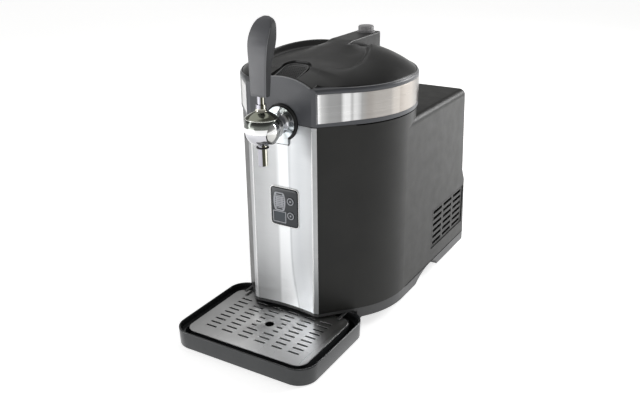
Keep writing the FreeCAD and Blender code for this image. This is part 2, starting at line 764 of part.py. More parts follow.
def make_feet():
    height = s.base_low + s.foot_recess
    return group("rubber_feet", [
        cone(f"foot_{i}", s.foot_radius - 1.5, s.foot_radius, height, x, y)
        for i, (x, y) in enumerate(foot_places(), start=1)
    ])


# ---------------------------------------------------------------- housing
def side_outline(inset, front):
    """The compartment from the side, from its foot round its leaning and stepped back wall."""
    return [
        (front, s.seam_level), (s.rear_foot - inset, s.seam_level),
        (s.rear_low - inset, s.step_low), (s.rear_high - inset, s.step_high),
        (s.rear_top - inset, s.box_top - inset), (front, s.box_top - inset),
    ]


def make_compartment(label, inset, front):
    """The compartment as a solid, drawn in by inset: its corners and its top rim stay concentric."""
    form = Moulding(label)
    half = s.body_radius - inset
    side = form.sketch("YZ")
    draw(side, side_outline(size(inset), front))
    form.pad(side, 2 * half, midplane=True)

    def rear_corner(edge):
        ends = [vertex.Point for vertex in edge.Vertexes]
        outside = all(abs(abs(p.x) - float(half)) < 0.01 for p in ends)
        return outside and min(p.y for p in ends) > float(s.body_radius) and abs(ends[0].z - ends[-1].z) > 1

    def upper_rim(edge):
        top = float(s.box_top - inset)
        ends = [vertex.Point for vertex in edge.Vertexes]
        return all(abs(p.z - top) < 0.01 for p in ends) and max(p.y for p in ends) > float(front) + 1

    form.fillet(s.rear_round - inset, rear_corner)
    form.fillet(s.top_round - inset, upper_rim)
    return form.body


def make_housing():
    """Outer housing: the insulated drum with its front corners, and the compartment behind it."""
    room = make_compartment("compartment_room", s.shell_wall, s.shell_wall)
    shell = cut("compartment_shell", make_compartment("compartment_form", size(0), size(0)), [room])
    drum = Moulding("drum_form")
    plan = drum.sketch("XY", s.seam_level)
    draw(plan, keel(s.body_radius, s.panel_gauge + s.panel_gap))
    drum.pad(plan, s.parting - s.seam_level)
    form = joined("housing_form", [shell, drum.body])
    bore = cylinder("housing_bore", s.cavity_radius, s.parting - s.seam_level, z=s.seam_level)
    gap = s.cold_half + s.foam_gap
    rise = s.cold_height / 2 + s.foam_gap
    window = box("cold_window", (-gap, s.chamber_radius, s.cool_level - rise), (gap, s.cold_back, s.cool_level + rise))
    saddle = cylinder("shank_saddle", s.shank_radius + s.panel_gap, s.front_reach - s.shank_end,
                      y=-s.front_reach, z=s.tap_level, along="y")
    half = s.bezel_half - s.bezel_lip
    recess = box("board_recess", (-half, -s.front_reach, s.bezel_low + s.bezel_lip),
                 (half, board_back(), s.bezel_high - s.bezel_lip))
    vents = [
        box(f"vent_opening_{i}", (x, s.vent_front, s.vent_low), (x + 4 * s.shell_wall, s.vent_rear, s.vent_high))
        for i, x in enumerate((s.body_radius - 2 * s.shell_wall, -s.body_radius - 2 * s.shell_wall), start=1)
    ]
    front = s.rear_high - 4 * s.shell_wall
    rear = s.rear_foot + s.shell_wall
    outlet = box("outlet_opening", (-s.outlet_half, front, s.outlet_low), (s.outlet_half, rear, s.outlet_high))
    inlet = box("inlet_opening", (-s.inlet_across - s.inlet_half, front, s.inlet_low),
                (s.inlet_half - s.inlet_across, rear, s.inlet_low + s.inlet_height))
    return cut("housing", form, [bore, window, saddle, recess, *vents, outlet, inlet])


def board_back():
    """Where the circuit board lies against the floor of its recess."""
    return -(s.cavity_radius + s.board_floor)


def lean():
    """Degrees that the lower back wall leans in."""
    return arctan((s.rear_foot - s.rear_low) / (s.step_low - s.seam_level))


def back_wall(level):
    """The outside of the lower back wall at a height."""
    slope = (s.rear_foot - s.rear_low) / (s.step_low - s.seam_level)
    return s.rear_foot - slope * (level - s.seam_level)


def make_vent(side, label):
    """Side vent: a sunk plate with three columns of slots."""
    vent = Moulding(label)
    outer = side * (s.body_radius - s.vent_sink)
    plate = vent.sketch("YZ", outer)
    gap = s.panel_gap
    draw_box(plate, s.vent_front + gap, s.vent_low + gap, s.vent_rear - gap, s.vent_high - gap)
    vent.pad(plate, s.vent_plate, back=side > 0)
    slots = vent.sketch("YZ", outer)
    width = (s.vent_length - 4 * s.vent_post) / 3
    pitch = 2 * s.vent_slot
    first = s.vent_low + (s.vent_height - 5 * pitch - s.vent_slot) / 2
    for column in range(3):
        start = s.vent_front + s.vent_post + column * (width + s.vent_post)
        draw_box(slots, start, first, start + width, first + s.vent_slot)
    opening = vent.pocket(slots, s.vent_plate, back=side < 0)
    vent.repeat([opening], slots, "V_Axis", 5 * pitch, 6)
    return vent.body


def make_outlet_grille():
    """Grille over the fan outlet, in the leaning back wall."""
    grille = Moulding("rear_grille")
    half = (s.outlet_high - s.outlet_low) / 2 - s.panel_gap
    wide = s.outlet_half - s.panel_gap
    plate = grille.sketch("XZ")
    draw(plate, rounded(-wide, -half, wide, half, s.shell_wall))
    grille.pad(plate, s.vent_plate, back=True)
    slots = grille.sketch("XZ")
    for column in (-1, 1):
        draw_box(slots, column * wide / 2 - wide * 0.42, -half + 5,
                 column * wide / 2 + wide * 0.42, -half + 5 + s.vent_slot)
    opening = grille.pocket(slots, s.vent_plate, back=True)
    grille.repeat([opening], slots, "V_Axis", 2 * half - 10 - s.vent_slot, 7)
    middle = (s.outlet_low + s.outlet_high) / 2
    body = grille.body
    body.Placement = FreeCAD.Placement(Vector(), Rotation(Vector(1, 0, 0), float(lean())))
    bind(body, "Placement.Rotation.Angle", lean())
    bind(body, "Placement.Base.y", back_wall(middle) - s.shell_wall)
    bind(body, "Placement.Base.z", middle)
    return body


def make_inlet():
    """Mains inlet: a flanged socket with three pins, set in the back wall."""
    middle = s.inlet_low + s.inlet_height / 2
    half = s.inlet_half - s.panel_gap
    high = s.inlet_height / 2 - s.panel_gap
    face = back_wall(s.inlet_low)
    x = -s.inlet_across
    block = box("inlet_block", (x - half, face - 22, middle - high), (x + half, face, middle + high))
    well = box("inlet_well", (x - half + 3, face - 16, middle - high + 3),
               (x + half - 3, face + 1, middle + high - 3))
    shell = cut("inlet_shell", block, [well])
    pins = [
        box(f"inlet_pin_{i}", (x + dx - 1, face - 17, middle + dz - 2), (x + dx + 1, face - 7, middle + dz + 2))
        for i, (dx, dz) in enumerate(((-7, -2), (0, 2), (7, -2)), start=1)
    ]
    return joined("power_inlet", [shell, *pins])


# ---------------------------------------------------------------- front panel and controls
def sheet_outline():
    """The folded front sheet from above: its outer side from left to right, its inner side back."""
    outer = front_outline(s.body_radius)[1:5]
    left, first, last, right = front_outline(s.body_radius, s.panel_gauge)[1:5]
    return outer + [right, (last[0], last[1], -first[2]), first[:2], left]


def make_front_panel():
    """Stainless front: a hollowed face with a folded strip down each side and a keyhole for the tap."""
    panel = Moulding("front_panel")
    plan = panel.sketch("XY", s.panel_low)
    draw(plan, sheet_outline())
    panel.pad(plan, s.parting - s.panel_gap - s.panel_low)
    keyhole = panel.sketch("XZ", -s.front_reach - 5)
    draw_circle(keyhole, 0, s.tap_level, s.keyhole_radius)
    panel.pocket(keyhole, 20)
    key = panel.sketch("XZ", -s.front_reach - 5)
    draw_box(key, -s.key_half, s.key_low, s.key_half, s.tap_level)
    panel.pocket(key, 20)
    window = panel.sketch("XZ", -s.front_reach - 5)
    rim = size(3.5)
    draw_box(window, rim - s.bezel_half, s.bezel_low + rim, s.bezel_half - rim, s.bezel_high - rim)
    panel.pocket(window, 20)
    return panel.body


def make_bezel():
    """Control panel: a dark plate with a window and two round openings."""
    bezel = Moulding("control_panel")
    plate = bezel.sketch("XZ", -s.bezel_back)
    draw(plate, rounded(-s.bezel_half, s.bezel_low, s.bezel_half, s.bezel_high, s.bezel_round))
    bezel.pad(plate, s.bezel_depth)
    holes = bezel.sketch("XZ", -s.bezel_back - s.bezel_depth)
    for level in (s.button_high, s.button_low):
        draw_circle(holes, s.button_across, level, s.button_radius + s.button_gap)
    draw_box(holes, *window_corners(0))
    bezel.pocket(holes, s.bezel_depth + 2)
    return bezel.body


def window_corners(gap):
    """The display window in the control panel."""
    return (3.5 + gap - s.bezel_half, s.bezel_low + 5 + gap, -1.5 - size(gap), s.button_low + 9.5 - gap)


def make_display():
    x0, z0, x1, z1 = window_corners(0.1)
    return box("display_window", (x0, -s.bezel_back - s.bezel_depth + 0.3, z0), (x1, -s.bezel_back + 0.6, z1))


def make_button(label, level):
    """A round button with a collar behind the control panel."""
    face = -(s.bezel_back + s.bezel_depth + s.button_proud)
    shaft = cylinder(f"{label}_shaft", s.button_radius, s.button_length, s.button_across, face, level, "y")
    collar = cylinder(f"{label}_collar", s.button_radius + 1.2, 0.6, s.button_across,
                      face + s.button_length - 0.6, level, "y")
    return joined(label, [shaft, collar])


def make_board():
    margin = s.bezel_lip + s.panel_gap
    half = s.bezel_half - margin
    back = board_back()
    return box("control_board", (-half, back - s.board_thick, s.bezel_low + margin),
               (half, back, s.bezel_high - margin))


# ---------------------------------------------------------------- keg chamber and cooling
def make_chamber():
    outer = cylinder("chamber_outside", s.chamber_radius + s.chamber_wall,
                     s.collar_high - s.collar_thick - s.chamber_floor, z=s.chamber_floor)
    inner = cylinder("chamber_inside", s.chamber_radius, s.collar_high - s.chamber_floor,
                     z=s.chamber_floor + s.chamber_wall)
    return cut("keg_chamber", outer, [inner])


def shank_room(name):
    """Room for the tap's nut and barb in what lies round the chamber's mouth."""
    half = s.nut_radius + 1.5
    return box(name, (-half, -s.body_radius, s.tap_level - half), (half, -s.chamber_radius - s.chamber_wall - 2,
               s.tap_level + half))


def make_collar():
    ring = tube("collar_ring", s.cavity_radius - s.foam_gap, s.chamber_radius, s.collar_thick,
                z=s.collar_high - s.collar_thick)
    return cut("chamber_collar", ring, [shank_room("collar_notch")])


def make_foam():
    high = s.collar_high - s.collar_thick - s.foam_gap
    low = s.seam_level + s.foam_gap
    ring = tube("foam_ring", s.cavity_radius - s.foam_gap, s.chamber_radius + s.chamber_wall + s.foam_gap,
                high - low, z=low)
    gap = s.cold_half + s.foam_gap
    window = box("foam_window", (-gap, 0, s.cool_level - s.cold_height / 2 - s.foam_gap),
                 (gap, s.body_radius, s.cool_level + s.cold_height / 2 + s.foam_gap))
    return cut("insulation", ring, [window, shank_room("foam_notch")])


def make_cold_block():
    half = s.cold_height / 2
    block = box("cold_block_form", (-s.cold_half, s.chamber_radius * 0.85, s.cool_level - half),
                (s.cold_half, s.cold_back, s.cool_level + half))
    hollow = cylinder("cold_block_bore", s.chamber_radius + s.chamber_wall, s.cold_height + 2,
                      z=s.cool_level - half - 1)
    return cut("cold_block", block, [hollow])


def make_peltier():
    half = s.peltier_side / 2
    return box("peltier_module", (-half, s.cold_back, s.cool_level - half),
               (half, s.cold_back + s.peltier_thick, s.cool_level + half))


def make_heat_sink():
    """Extruded heat sink: a plate with upright fins."""
    front = s.cold_back + s.peltier_thick
    back = front + s.sink_plate + s.fin_depth
    low = s.cool_level - s.sink_height / 2
    high = s.cool_level + s.sink_height / 2
    block = box("sink_block", (-s.sink_width / 2, front, low), (s.sink_width / 2, back, high))
    count = 12
    pitch = (s.sink_width - s.fin_thick) / count
    gaps = [
        box(f"sink_gap_{i}", (i * pitch - s.sink_width / 2 + s.fin_thick, front + s.sink_plate, low - 1),
            ((i + 1) * pitch - s.sink_width / 2, back + 1, high + 1))
        for i in range(count)
    ]
    return cut("heat_sink", block, gaps)


def fan_front():
    return s.cold_back + s.peltier_thick + s.sink_plate + s.fin_depth


def make_fan_frame():
    """Fan frame with its bore, four struts and the motor's seat with the shaft."""
    front = fan_front()
    back = front + s.fan_depth
    half = s.fan_side / 2
    block = box("fan_block", (-half, front, s.cool_level - half), (half, back, s.cool_level + half))
    bore = cylinder("fan_way", s.fan_bore, s.fan_depth + 2, y=front - 1, z=s.cool_level, along="y")
    frame = cut("fan_shroud", block, [bore])
    seat = cylinder("fan_seat", s.fan_hub, 3, y=back - 3, z=s.cool_level, along="y")
    pin = cylinder("fan_shaft", s.fan_pin, s.fan_depth - 7, y=front + 5, z=s.cool_level, along="y")
    flat = box("strut_flat", (-s.fan_bore - 1, back - 3, s.cool_level - 2.5),
               (s.fan_bore + 1, back, s.cool_level + 2.5))
    upright = box("strut_upright", (-2.5, back - 3, s.cool_level - s.fan_bore - 1),
                  (2.5, back, s.cool_level + s.fan_bore + 1))
    return joined("fan_frame", [frame, seat, pin, flat, upright])


def make_rotor():
    """Fan rotor: a hub cup with seven pitched blades."""
    front = float(fan_front())
    level = float(s.cool_level)
    hub = float(s.fan_hub)
    depth = float(s.fan_depth) - 6
    shape = Part.makeCylinder(hub, depth, Vector(0, front + 2, level), Vector(0, 1, 0))
    reach = float(s.fan_tip) - hub + 2
    for i in range(7):
        blade = Part.makeBox(reach, 1.6, depth * 1.1, Vector(hub - 2, -0.8, -depth * 0.55))
        blade.rotate(Vector(hub, 0, 0), Vector(1, 0, 0), 38)
        blade.rotate(Vector(), Vector(1, 0, 0), 90)
        blade.rotate(Vector(), Vector(0, 1, 0), i * 360 / 7)
        blade.translate(Vector(0, front + 2 + depth / 2, level))
        shape = shape.fuse(blade)
    limit = Part.makeCylinder(float(s.fan_tip), depth, Vector(0, front + 2, level), Vector(0, 1, 0))
    bore = Part.makeCylinder(float(s.fan_pin + s.running), depth + 10, Vector(0, front - 3, level), Vector(0, 1, 0))
    rotor = DOC.addObject("Part::Feature", "fan_rotor")
    rotor.Shape = shape.common(limit).cut(bore).removeSplitter()
    return rotor


def make_shelf():
    """Shelf across the rear compartment, on the side walls."""
    half = s.body_radius - s.shell_wall - s.foam_gap
    return box("supply_shelf", (-half, s.body_radius + s.foam_gap, s.shelf_level),
               (half, s.rear_top - s.shell_wall, s.shelf_level + s.shelf_thick))


def make_supply():
    """Power supply: a vented case on the shelf."""
    low = s.shelf_level + s.shelf_thick
    front = s.body_radius + 12
    case = box("supply_case", (-s.supply_width / 2, front, low),
               (s.supply_width / 2, front + s.supply_depth, low + s.supply_height))
    slots = [
        box(f"supply_slot_{i}", (-s.supply_width / 2 + 12 + 10 * i, front + 8, low + s.supply_height - 2),
            (-s.supply_width / 2 + 15 + 10 * i, front + s.supply_depth - 8, low + s.supply_height + 1))
        for i in range(9)
    ]
    return cut("power_supply", case, slots)


# ---------------------------------------------------------------- drip tray
def tray_plan(inset):
    """The tray's outline, drawn in by inset."""
    half = s.tray_half - inset
    return rounded(-half, inset - s.tray_front, half, -s.tray_rear - inset, s.tray_round - size(inset) * 0.8)


def make_tray():
    """Drip tray: a rim, a gutter step and a ledge that carries the grate."""
    tray = Moulding("drip_tray")
    plan = tray.sketch("XY")
    draw(plan, tray_plan(size(0)))
    tray.pad(plan, s.tray_height)
    step = tray.sketch("XY", s.tray_height)
    draw(step, tray_plan(s.tray_wall))
    tray.pocket(step, s.tray_height - s.tray_step)
    well = tray.sketch("XY", s.tray_step)
    draw(well, tray_plan(s.ledge_width * 0.62))
    tray.pocket(well, s.tray_step - s.tray_floor)
    ledge = tray.sketch("XY", s.tray_floor / 2)
    draw(ledge, tray_plan(s.ledge_width + 1.5))
    draw(ledge, tray_plan(s.ledge_width + 1.5 + s.ledge_wall))
    tray.pad(ledge, s.ledge_high - s.tray_floor / 2)
    return tray.body


def make_grate():
    """Stainless grate: six columns of slots round a drain hole, and a round rear edge that it tips on."""
    grate = Moulding("grate_plate")
    plate = grate.sketch("XY", s.ledge_high)
    draw(plate, rounded(-s.grate_half, -s.grate_front, s.grate_half, -s.grate_rear, s.grate_round))
    grate.pad(plate, s.grate_gauge)
    top = s.ledge_high + s.grate_gauge
    drain = grate.sketch("XY", top)
    draw_circle(drain, 0, -s.tap_reach, s.drain_radius)
    grate.pocket(drain, s.grate_gauge * 2)
    middle = -(s.grate_front + s.grate_rear) / 2
    rows = [
        ((1.5, 2.5), s.slot_length, 0, -4, 9),
        ((0.5,), s.slot_length, 0, -4, 3),
        ((0.5,), s.slot_length, 0, 2, 3),
        ((0.5,), s.slot_length / 2, s.slot_length / 4, -1, 3),
    ]
    for columns, length, shift, first, count in rows:
        profile = grate.sketch("XY", top)
        for column in columns:
            for side in (1, -1):
                x = side * (column * s.slot_pitch + shift)
                y = middle + first * s.row_pitch
                draw_box(profile, x - length / 2, y - s.slot_width / 2, x + length / 2, y + s.slot_width / 2)
        opening = grate.pocket(profile, s.grate_gauge * 2)
        grate.repeat([opening], profile, "V_Axis", (count - 1) * s.row_pitch, count)
    half = s.grate_half - s.grate_round
    bead = cylinder("grate_bead", s.grate_gauge / 2, 2 * half, -half, -s.grate_rear,
                    s.ledge_high + s.grate_gauge / 2, "x")
    return joined("drip_grate_form", [grate.body, bead])


# ---------------------------------------------------------------- lid hinge
def make_hinge_brackets():
    """Bracket on the compartment's top with two pairs of knuckles."""
    inner = s.hinge_across - s.knuckle_gap - s.knuckle_length
    outer = s.hinge_across + s.knuckle_length + s.knuckle_gap
    end = outer + s.knuckle_length
    top = s.box_top + s.bracket_thick
    plate = box("hinge_plate", (-end, s.body_radius + s.foam_gap, s.box_top),
                (end, s.hinge_along + s.knuckle + 3, top))
    parts = [plate]
    for start in (inner, outer, -inner - s.knuckle_length, -outer - s.knuckle_length):
        parts.append(cylinder(f"knuckle_{len(parts)}", s.knuckle, s.knuckle_length, start,
                              s.hinge_along, s.hinge_level, "x"))
        parts.append(box(f"knuckle_foot_{len(parts)}", (start, s.hinge_along - s.knuckle, s.box_top),
                         (start + s.knuckle_length, s.hinge_along + s.knuckle, s.hinge_level)))
    hole = cylinder("bracket_bore", s.hinge_pin, 2 * end, -end, s.hinge_along, s.hinge_level, "x")
    return cut("hinge_brackets", joined("hinge_bracket_form", parts), [hole])


def make_hinge_pin():
    end = s.hinge_across + 2 * s.knuckle_length + s.knuckle_gap
    return cylinder("hinge_pin", s.hinge_pin, 2 * end, -end, s.hinge_along, s.hinge_level, "x")


# ---------------------------------------------------------------- lid
def cap_level(x, y):
    """Height of the domed cap over a point."""
    rise = s.cap_high - s.cap_low
    ball_size = (s.cap_radius * s.cap_radius + rise * rise) / (2 * rise)
    return s.cap_high - ball_size + root(ball_size * ball_size - size(x) * x - size(y) * y)


def band_path(radius, inset, end):
    """One side of a band's plan: along the cheek from band_start, then round the drum."""
    edge = s.front_half + s.flange_run - inset
    edge_y = s.front_reach - s.flange_drop - inset
    r = radius - inset
    angle = tangent_angle(r, edge, edge_y)
    side = r * cosine(angle)
    side_y = -(r * sine(angle))
    part = (s.band_start - edge) / (side - edge)
    return [
        (s.band_start, (side_y + edge_y) * part - edge_y),
        (side, side_y, r), (r * cosine(end), r * sine(end)),
    ]


def band_plan(side, outer, inner, trim):
    """Closed plan of a band or its seat; side is 1 or -1."""
    end = s.band_end - trim
    ahead = band_path(s.ring_radius, outer, end)
    behind = band_path(s.ring_radius, inner, end)
    plan = [ahead[0], ahead[1], ahead[2], (behind[2][0], behind[2][1], -behind[1][2]),
            (behind[1][0], behind[1][1]), behind[0]]
    if side > 0:
        return plan
    flipped = [(-c[0], c[1]) for c in plan]
    flipped[1] += (-ahead[1][2],)
    flipped[3] += (behind[1][2],)
    return flipped


def make_lid_ring():
    """Ring of the lid, with the arched fascia, the seats of the bands and a half notch for the tap."""
    low = s.parting + s.lid_gap
    ring = Moulding("ring_form")
    plan = ring.sketch("XY", low)
    draw(plan, keel(s.ring_radius))
    ring.pad(plan, s.ring_high - low)

    def outer_rim(edge):
        ends = [vertex.Point for vertex in edge.Vertexes]
        flat = all(abs(p.z - float(s.ring_high)) < 0.01 for p in ends)
        return flat and max(abs(p.x) for p in ends) > float(s.front_half) + float(s.flange_run) + 1

    ring.fillet(s.ring_round, outer_rim)
    face = ring.sketch("XY", s.ring_high - 2 * s.ring_round)
    ahead = front_outline(s.ring_radius)
    behind = front_outline(s.ring_radius, s.fascia_wall)
    draw(face, [ahead[2], ahead[3], (behind[3][0], behind[3][1], -behind[2][2]), behind[2][:2]])
    ring.pad(face, s.arch_rise + 2 * s.ring_round)
    arch = ring.sketch("XZ", -s.front_reach - 1)
    reach = s.front_half + 1
    top = s.ring_high + s.arch_rise
    bend = (s.front_half * s.front_half + s.arch_rise * s.arch_rise) / (2 * s.arch_rise)
    draw(arch, [(reach, s.ring_high), (reach, top + 5), (-reach, top + 5), (-reach, s.ring_high),
                (-s.front_half, s.ring_high, -bend), (s.front_half, s.ring_high)])
    ring.pocket(arch, 2 * s.cap_radius / 3)
    bore = ring.sketch("XY", s.ring_high)
    draw_circle(bore, 0, 0, s.ring_bore)
    ring.pocket(bore, s.ring_high - low)
    rebate = ring.sketch("XY", s.ring_high)
    draw_circle(rebate, 0, 0, s.ring_radius - s.rim_width)
    ring.pocket(rebate, s.rim_depth)
    for side in (1, -1):
        seat = ring.sketch("XY", s.band_high)
        draw(seat, band_plan(side, -s.band_sink, s.band_sink, 0))
        ring.pocket(seat, s.band_high - s.band_low)
    notch = ring.sketch("XZ", -s.front_reach - 1)
    draw_circle(notch, 0, s.tap_level, s.keyhole_radius)
    ring.pocket(notch, 1 + s.face_sag + s.panel_gauge + s.panel_gap)
    hole = ring.sketch("XZ", -s.front_reach - 1)
    draw_circle(hole, 0, s.tap_level, s.shank_radius + s.lid_gap)
    ring.pocket(hole, 3 * s.face_sag)
    parts = [ring.body]
    arm = 12
    for side in (1, -1):
        start = side * (s.hinge_across + s.knuckle_length / 2) - s.knuckle_length / 2
        stop = start + s.knuckle_length
        back = s.hinge_along + s.knuckle
        parts += [
            cylinder(f"lid_knuckle_{side}", s.knuckle, s.knuckle_length, start, s.hinge_along,
                     s.hinge_level, "x"),
            box(f"lid_arm_{side}", (start, s.hinge_along - s.knuckle, s.hinge_level),
                (stop, back, s.hinge_level + arm)),
            box(f"lid_root_{side}", (start, s.ring_bore - 2, low), (stop, s.hinge_along, s.hinge_level + arm)),
        ]
        lug = side * (s.lug_across + s.lug_wall / 2) - s.lug_wall / 2
        parts.append(box(f"latch_lug_{side}", (lug, -s.ring_bore + 6, s.bar_level - 5),
                         (lug + s.lug_wall, -s.bar_along + 4.5, s.bar_level + 5)))
    form = joined("lid_ring_form", parts)
    inside = cylinder("lid_root_bore", s.ring_bore - 3, s.ring_high - low, z=low)
    keep = box("bore_keep", (-s.ring_bore, 0, low - 1), (s.ring_bore, s.ring_bore, s.ring_high))
    clear = common("lid_rear_bore", inside, keep)
    reach = s.hinge_across + s.knuckle_length + 5
    pin = cylinder("lid_hinge_bore", s.hinge_pin + s.running, 2 * reach, -reach, s.hinge_along,
                   s.hinge_level, "x")
    reach = s.lug_across + s.lug_wall
    latch = cylinder("latch_pin_bore", s.bar_pin, 2 * reach, -reach, -s.bar_along, s.bar_level, "x")
    return cut("lid_ring", form, [clear, pin, latch])


def make_band(side, label):
    """Stainless band in its seat."""
    band = Moulding(label)
    plan = band.sketch("XY", s.band_low + s.panel_gap / 2)
    trimmed = band_plan(side, s.band_sink - s.band_gauge, s.band_sink, 0.15)
    draw(plan, trimmed)
    band.pad(plan, s.band_high - s.band_low - s.panel_gap)
    return band.body


SCOOP = [
    # place along the lid, inner edge, outer edge, as shares of the cap's radius; share of the depth
    (0.647, 0.149, 0.178, 0.13),
    (0.515, 0.149, 0.249, 0.50),
    (0.332, 0.141, 0.332, 0.83),
    (0.033, 0.129, 0.432, 1.00),
    (-0.199, 0.108, 0.481, 1.00),
    (-0.415, 0.145, 0.519, 0.92),
    (-0.598, 0.216, 0.515, 0.75),
    (-0.730, 0.307, 0.456, 0.33),
]


def scoop_sections(form, side, grow, top):
    """Sections of a hollow beside the hood. grow widens them; top closes them above the cap."""
    sections = []
    for along, inner, outer, depth in SCOOP:
        along = s.cap_radius * along
        inner = s.cap_radius * inner - grow
        outer = s.cap_radius * outer + grow
        low_in = cap_level(inner, along) - grow / 3
        low_out = cap_level(outer, along) - grow / 3
        chord = outer - inner
        sag = s.scoop_depth * depth + grow * 0.7
        bend = (chord * chord / 4 + sag * sag) / (2 * sag)
        section = form.sketch("XZ", along)
        if side > 0:
            corners = [(inner, low_in, bend), (outer, low_out)]
        else:
            corners = [(-outer, low_out, bend), (-inner, low_in)]
        if top is not None:
            corners += [(x, s.cap_high + top) for x in (corners[1][0], corners[0][0])]
        draw(section, corners)
        sections.append(section)
    return sections


def button_slope(y, rise=0.0):
    """Height of the push button's sloping top at a place ahead of the drum axis."""
    slope = (s.button_crest - s.button_brow) / (s.latch_front - s.latch_rear)
    return s.button_brow + slope * (s.latch_front - y) + rise


def make_lid_shell():
    """Domed lid: a cap with two hollows beside its hood, and the tower of the knob at the back."""
    shell = Moulding("shell_form")
    rise = s.cap_high - s.cap_low
    foot = s.ring_high - s.rim_depth + s.panel_gap
    ball_size = (s.cap_radius * s.cap_radius + rise * rise) / (2 * rise)
    edge = s.ring_radius - s.rim_width - s.panel_gap
    outside = shell.sketch("XZ")
    draw(outside, [(0, foot), (edge, foot), (edge, s.cap_low), (s.cap_radius, s.cap_low, ball_size),
                   (0, s.cap_high)])
    shell.revolve(outside)
    inside = shell.sketch("XZ")
    wall = s.dome_wall
    inner = s.ring_bore - wall
    draw(inside, [(0, foot - 1), (inner, foot - 1), (inner, cap_level(inner, 0) - wall, ball_size),
                  (0, s.cap_high - wall)])
    shell.revolve(inside, kind="Groove")
    for side in (1, -1):
        shell.loft(scoop_sections(shell, side, s.dome_wall, None))
    tower = shell.sketch("XY", s.cap_low)
    front = s.knob_along - s.tower_length
    draw(tower, rounded(-s.tower_half, front, s.tower_half, s.tower_rear, s.tower_round))
    shell.pad(tower, s.tower_high - s.cap_low)
    room = shell.sketch("XY", s.cap_low)
    draw_box(room, wall - s.tower_half, front + wall, s.tower_half - wall, s.tower_rear - wall)
    shell.pocket(room, s.tower_high - s.cap_low - wall, back=True)
    overhang = shell.sketch("XY", s.ring_high + s.panel_gap)
    draw_box(overhang, -s.tower_half - 1, s.cap_radius, s.tower_half + 1, s.tower_rear + 1)
    shell.pocket(overhang, s.ring_high)
    for side in (1, -1):
        shell.loft(scoop_sections(shell, side, size(0), size(12)), kind="SubtractiveLoft")
    bore = shell.sketch("XY", s.tower_high)
    draw_circle(bore, 0, s.knob_along, s.spindle_radius + s.running)
    shell.pocket(bore, 2 * wall)
    hood = make_hood()
    form = joined("lid_shell_form", [shell.body, hood])
    return cut("lid_shell", form, [button_recess(), button_opening()])


def make_hood():
    """Block of the hood behind the arched fascia."""
    form = Moulding("hood_form")
    low = s.ring_high + s.panel_gap
    sections = []
    top = s.ring_high + s.arch_rise
    half = s.front_half
    for along, reach, shoulder, crown in (
        (-(s.front_reach + 3), half + 2, s.ring_high + 0.4, top),
        (s.hood_end * -1, s.hood_half, cap_level(s.hood_half, s.hood_end), cap_level(0, s.hood_end)),
    ):
        bend = (reach * reach + (crown - shoulder) * (crown - shoulder)) / (2 * (crown - shoulder))
        section = form.sketch("XZ", along)
        draw(section, [(-reach, low), (reach, low), (reach, shoulder, bend), (-reach, shoulder)])
        sections.append(section)
    form.loft(sections, ruled=True)
    plan = Moulding("hood_plan")
    outline = plan.sketch("XY", low)
    front = front_outline(s.ring_radius, s.fascia_wall + s.panel_gap)
    draw(outline, [front[2], front[3], (front[3][0], -s.hood_end), (front[2][0], -s.hood_end)])
    plan.pad(outline, s.cap_high - low)
    return common("lid_hood", form.body, plan.body)


def button_recess():
    """The sloping recess round the push button."""
    recess = Moulding("button_recess")
    side = recess.sketch("YZ")
    front = s.front_reach - s.face_sag - s.fascia_wall - s.recess_front
    rear = s.latch_rear - s.recess_margin
    draw(side, [(-front, button_slope(front)), (-rear, button_slope(rear)),
                (-rear, s.cap_high), (-front, s.cap_high)])
    recess.pad(side, 2 * (s.latch_half + s.recess_margin), midplane=True)
    return recess.body


def button_opening():
    gap = s.latch_gap
    return box("button_opening", (-s.latch_half - gap, -s.latch_front - gap, s.ring_high - 5),
               (s.latch_half + gap, gap - s.latch_rear, s.cap_high))


def make_latch_button():
    """Push button: a sloping tongue with a leg that reaches down to the latch bar."""
    button = Moulding("latch_button")
    wall = s.dome_wall
    half = s.latch_half
    turn = s.latch_round
    plan = button.sketch("XY", s.button_brow - wall)
    draw(plan, [
        (-half, -s.latch_front), (half, -s.latch_front), (half, -s.latch_rear - turn, turn),
        (half - turn, -s.latch_rear), (turn - half, -s.latch_rear, turn), (-half, -s.latch_rear - turn),
    ])
    button.pad(plan, s.button_crest - s.button_brow + wall)
    front = s.latch_front + 1
    rear = s.latch_rear - 1
    above = button.sketch("YZ")
    draw(above, [(-front, button_slope(front)), (-rear, button_slope(rear)),
                 (-rear, s.button_crest + wall), (-front, s.button_crest + wall)])
    button.pocket(above, 3 * half, midplane=True)
    below = button.sketch("YZ")
    draw(below, [(-front, button_slope(front) - 2 * wall), (-rear, s.button_brow - 2 * wall),
                 (-rear, button_slope(rear) - wall), (-front, button_slope(front) - wall)])
    button.pocket(below, 3 * half, midplane=True)
    leg = button.sketch("YZ")
    low = s.bar_level + s.tab_thick + s.foam_gap
    front = -s.latch_front
    tip = s.tab_reach - s.tab_end - s.latch_front + s.bar_along
    nose = front - tip
    heel = nose + s.leg_nose
    back = front + s.leg_wall
    draw(leg, [(nose, low), (heel, low), (heel, low + wall / 2), (back, low + wall / 2),
               (back, s.button_brow - 1), (front, s.button_brow - 1), (front, low + wall),
               (nose, low + wall)])
    button.pad(leg, 2 * s.tab_half, midplane=True)
    return button.body


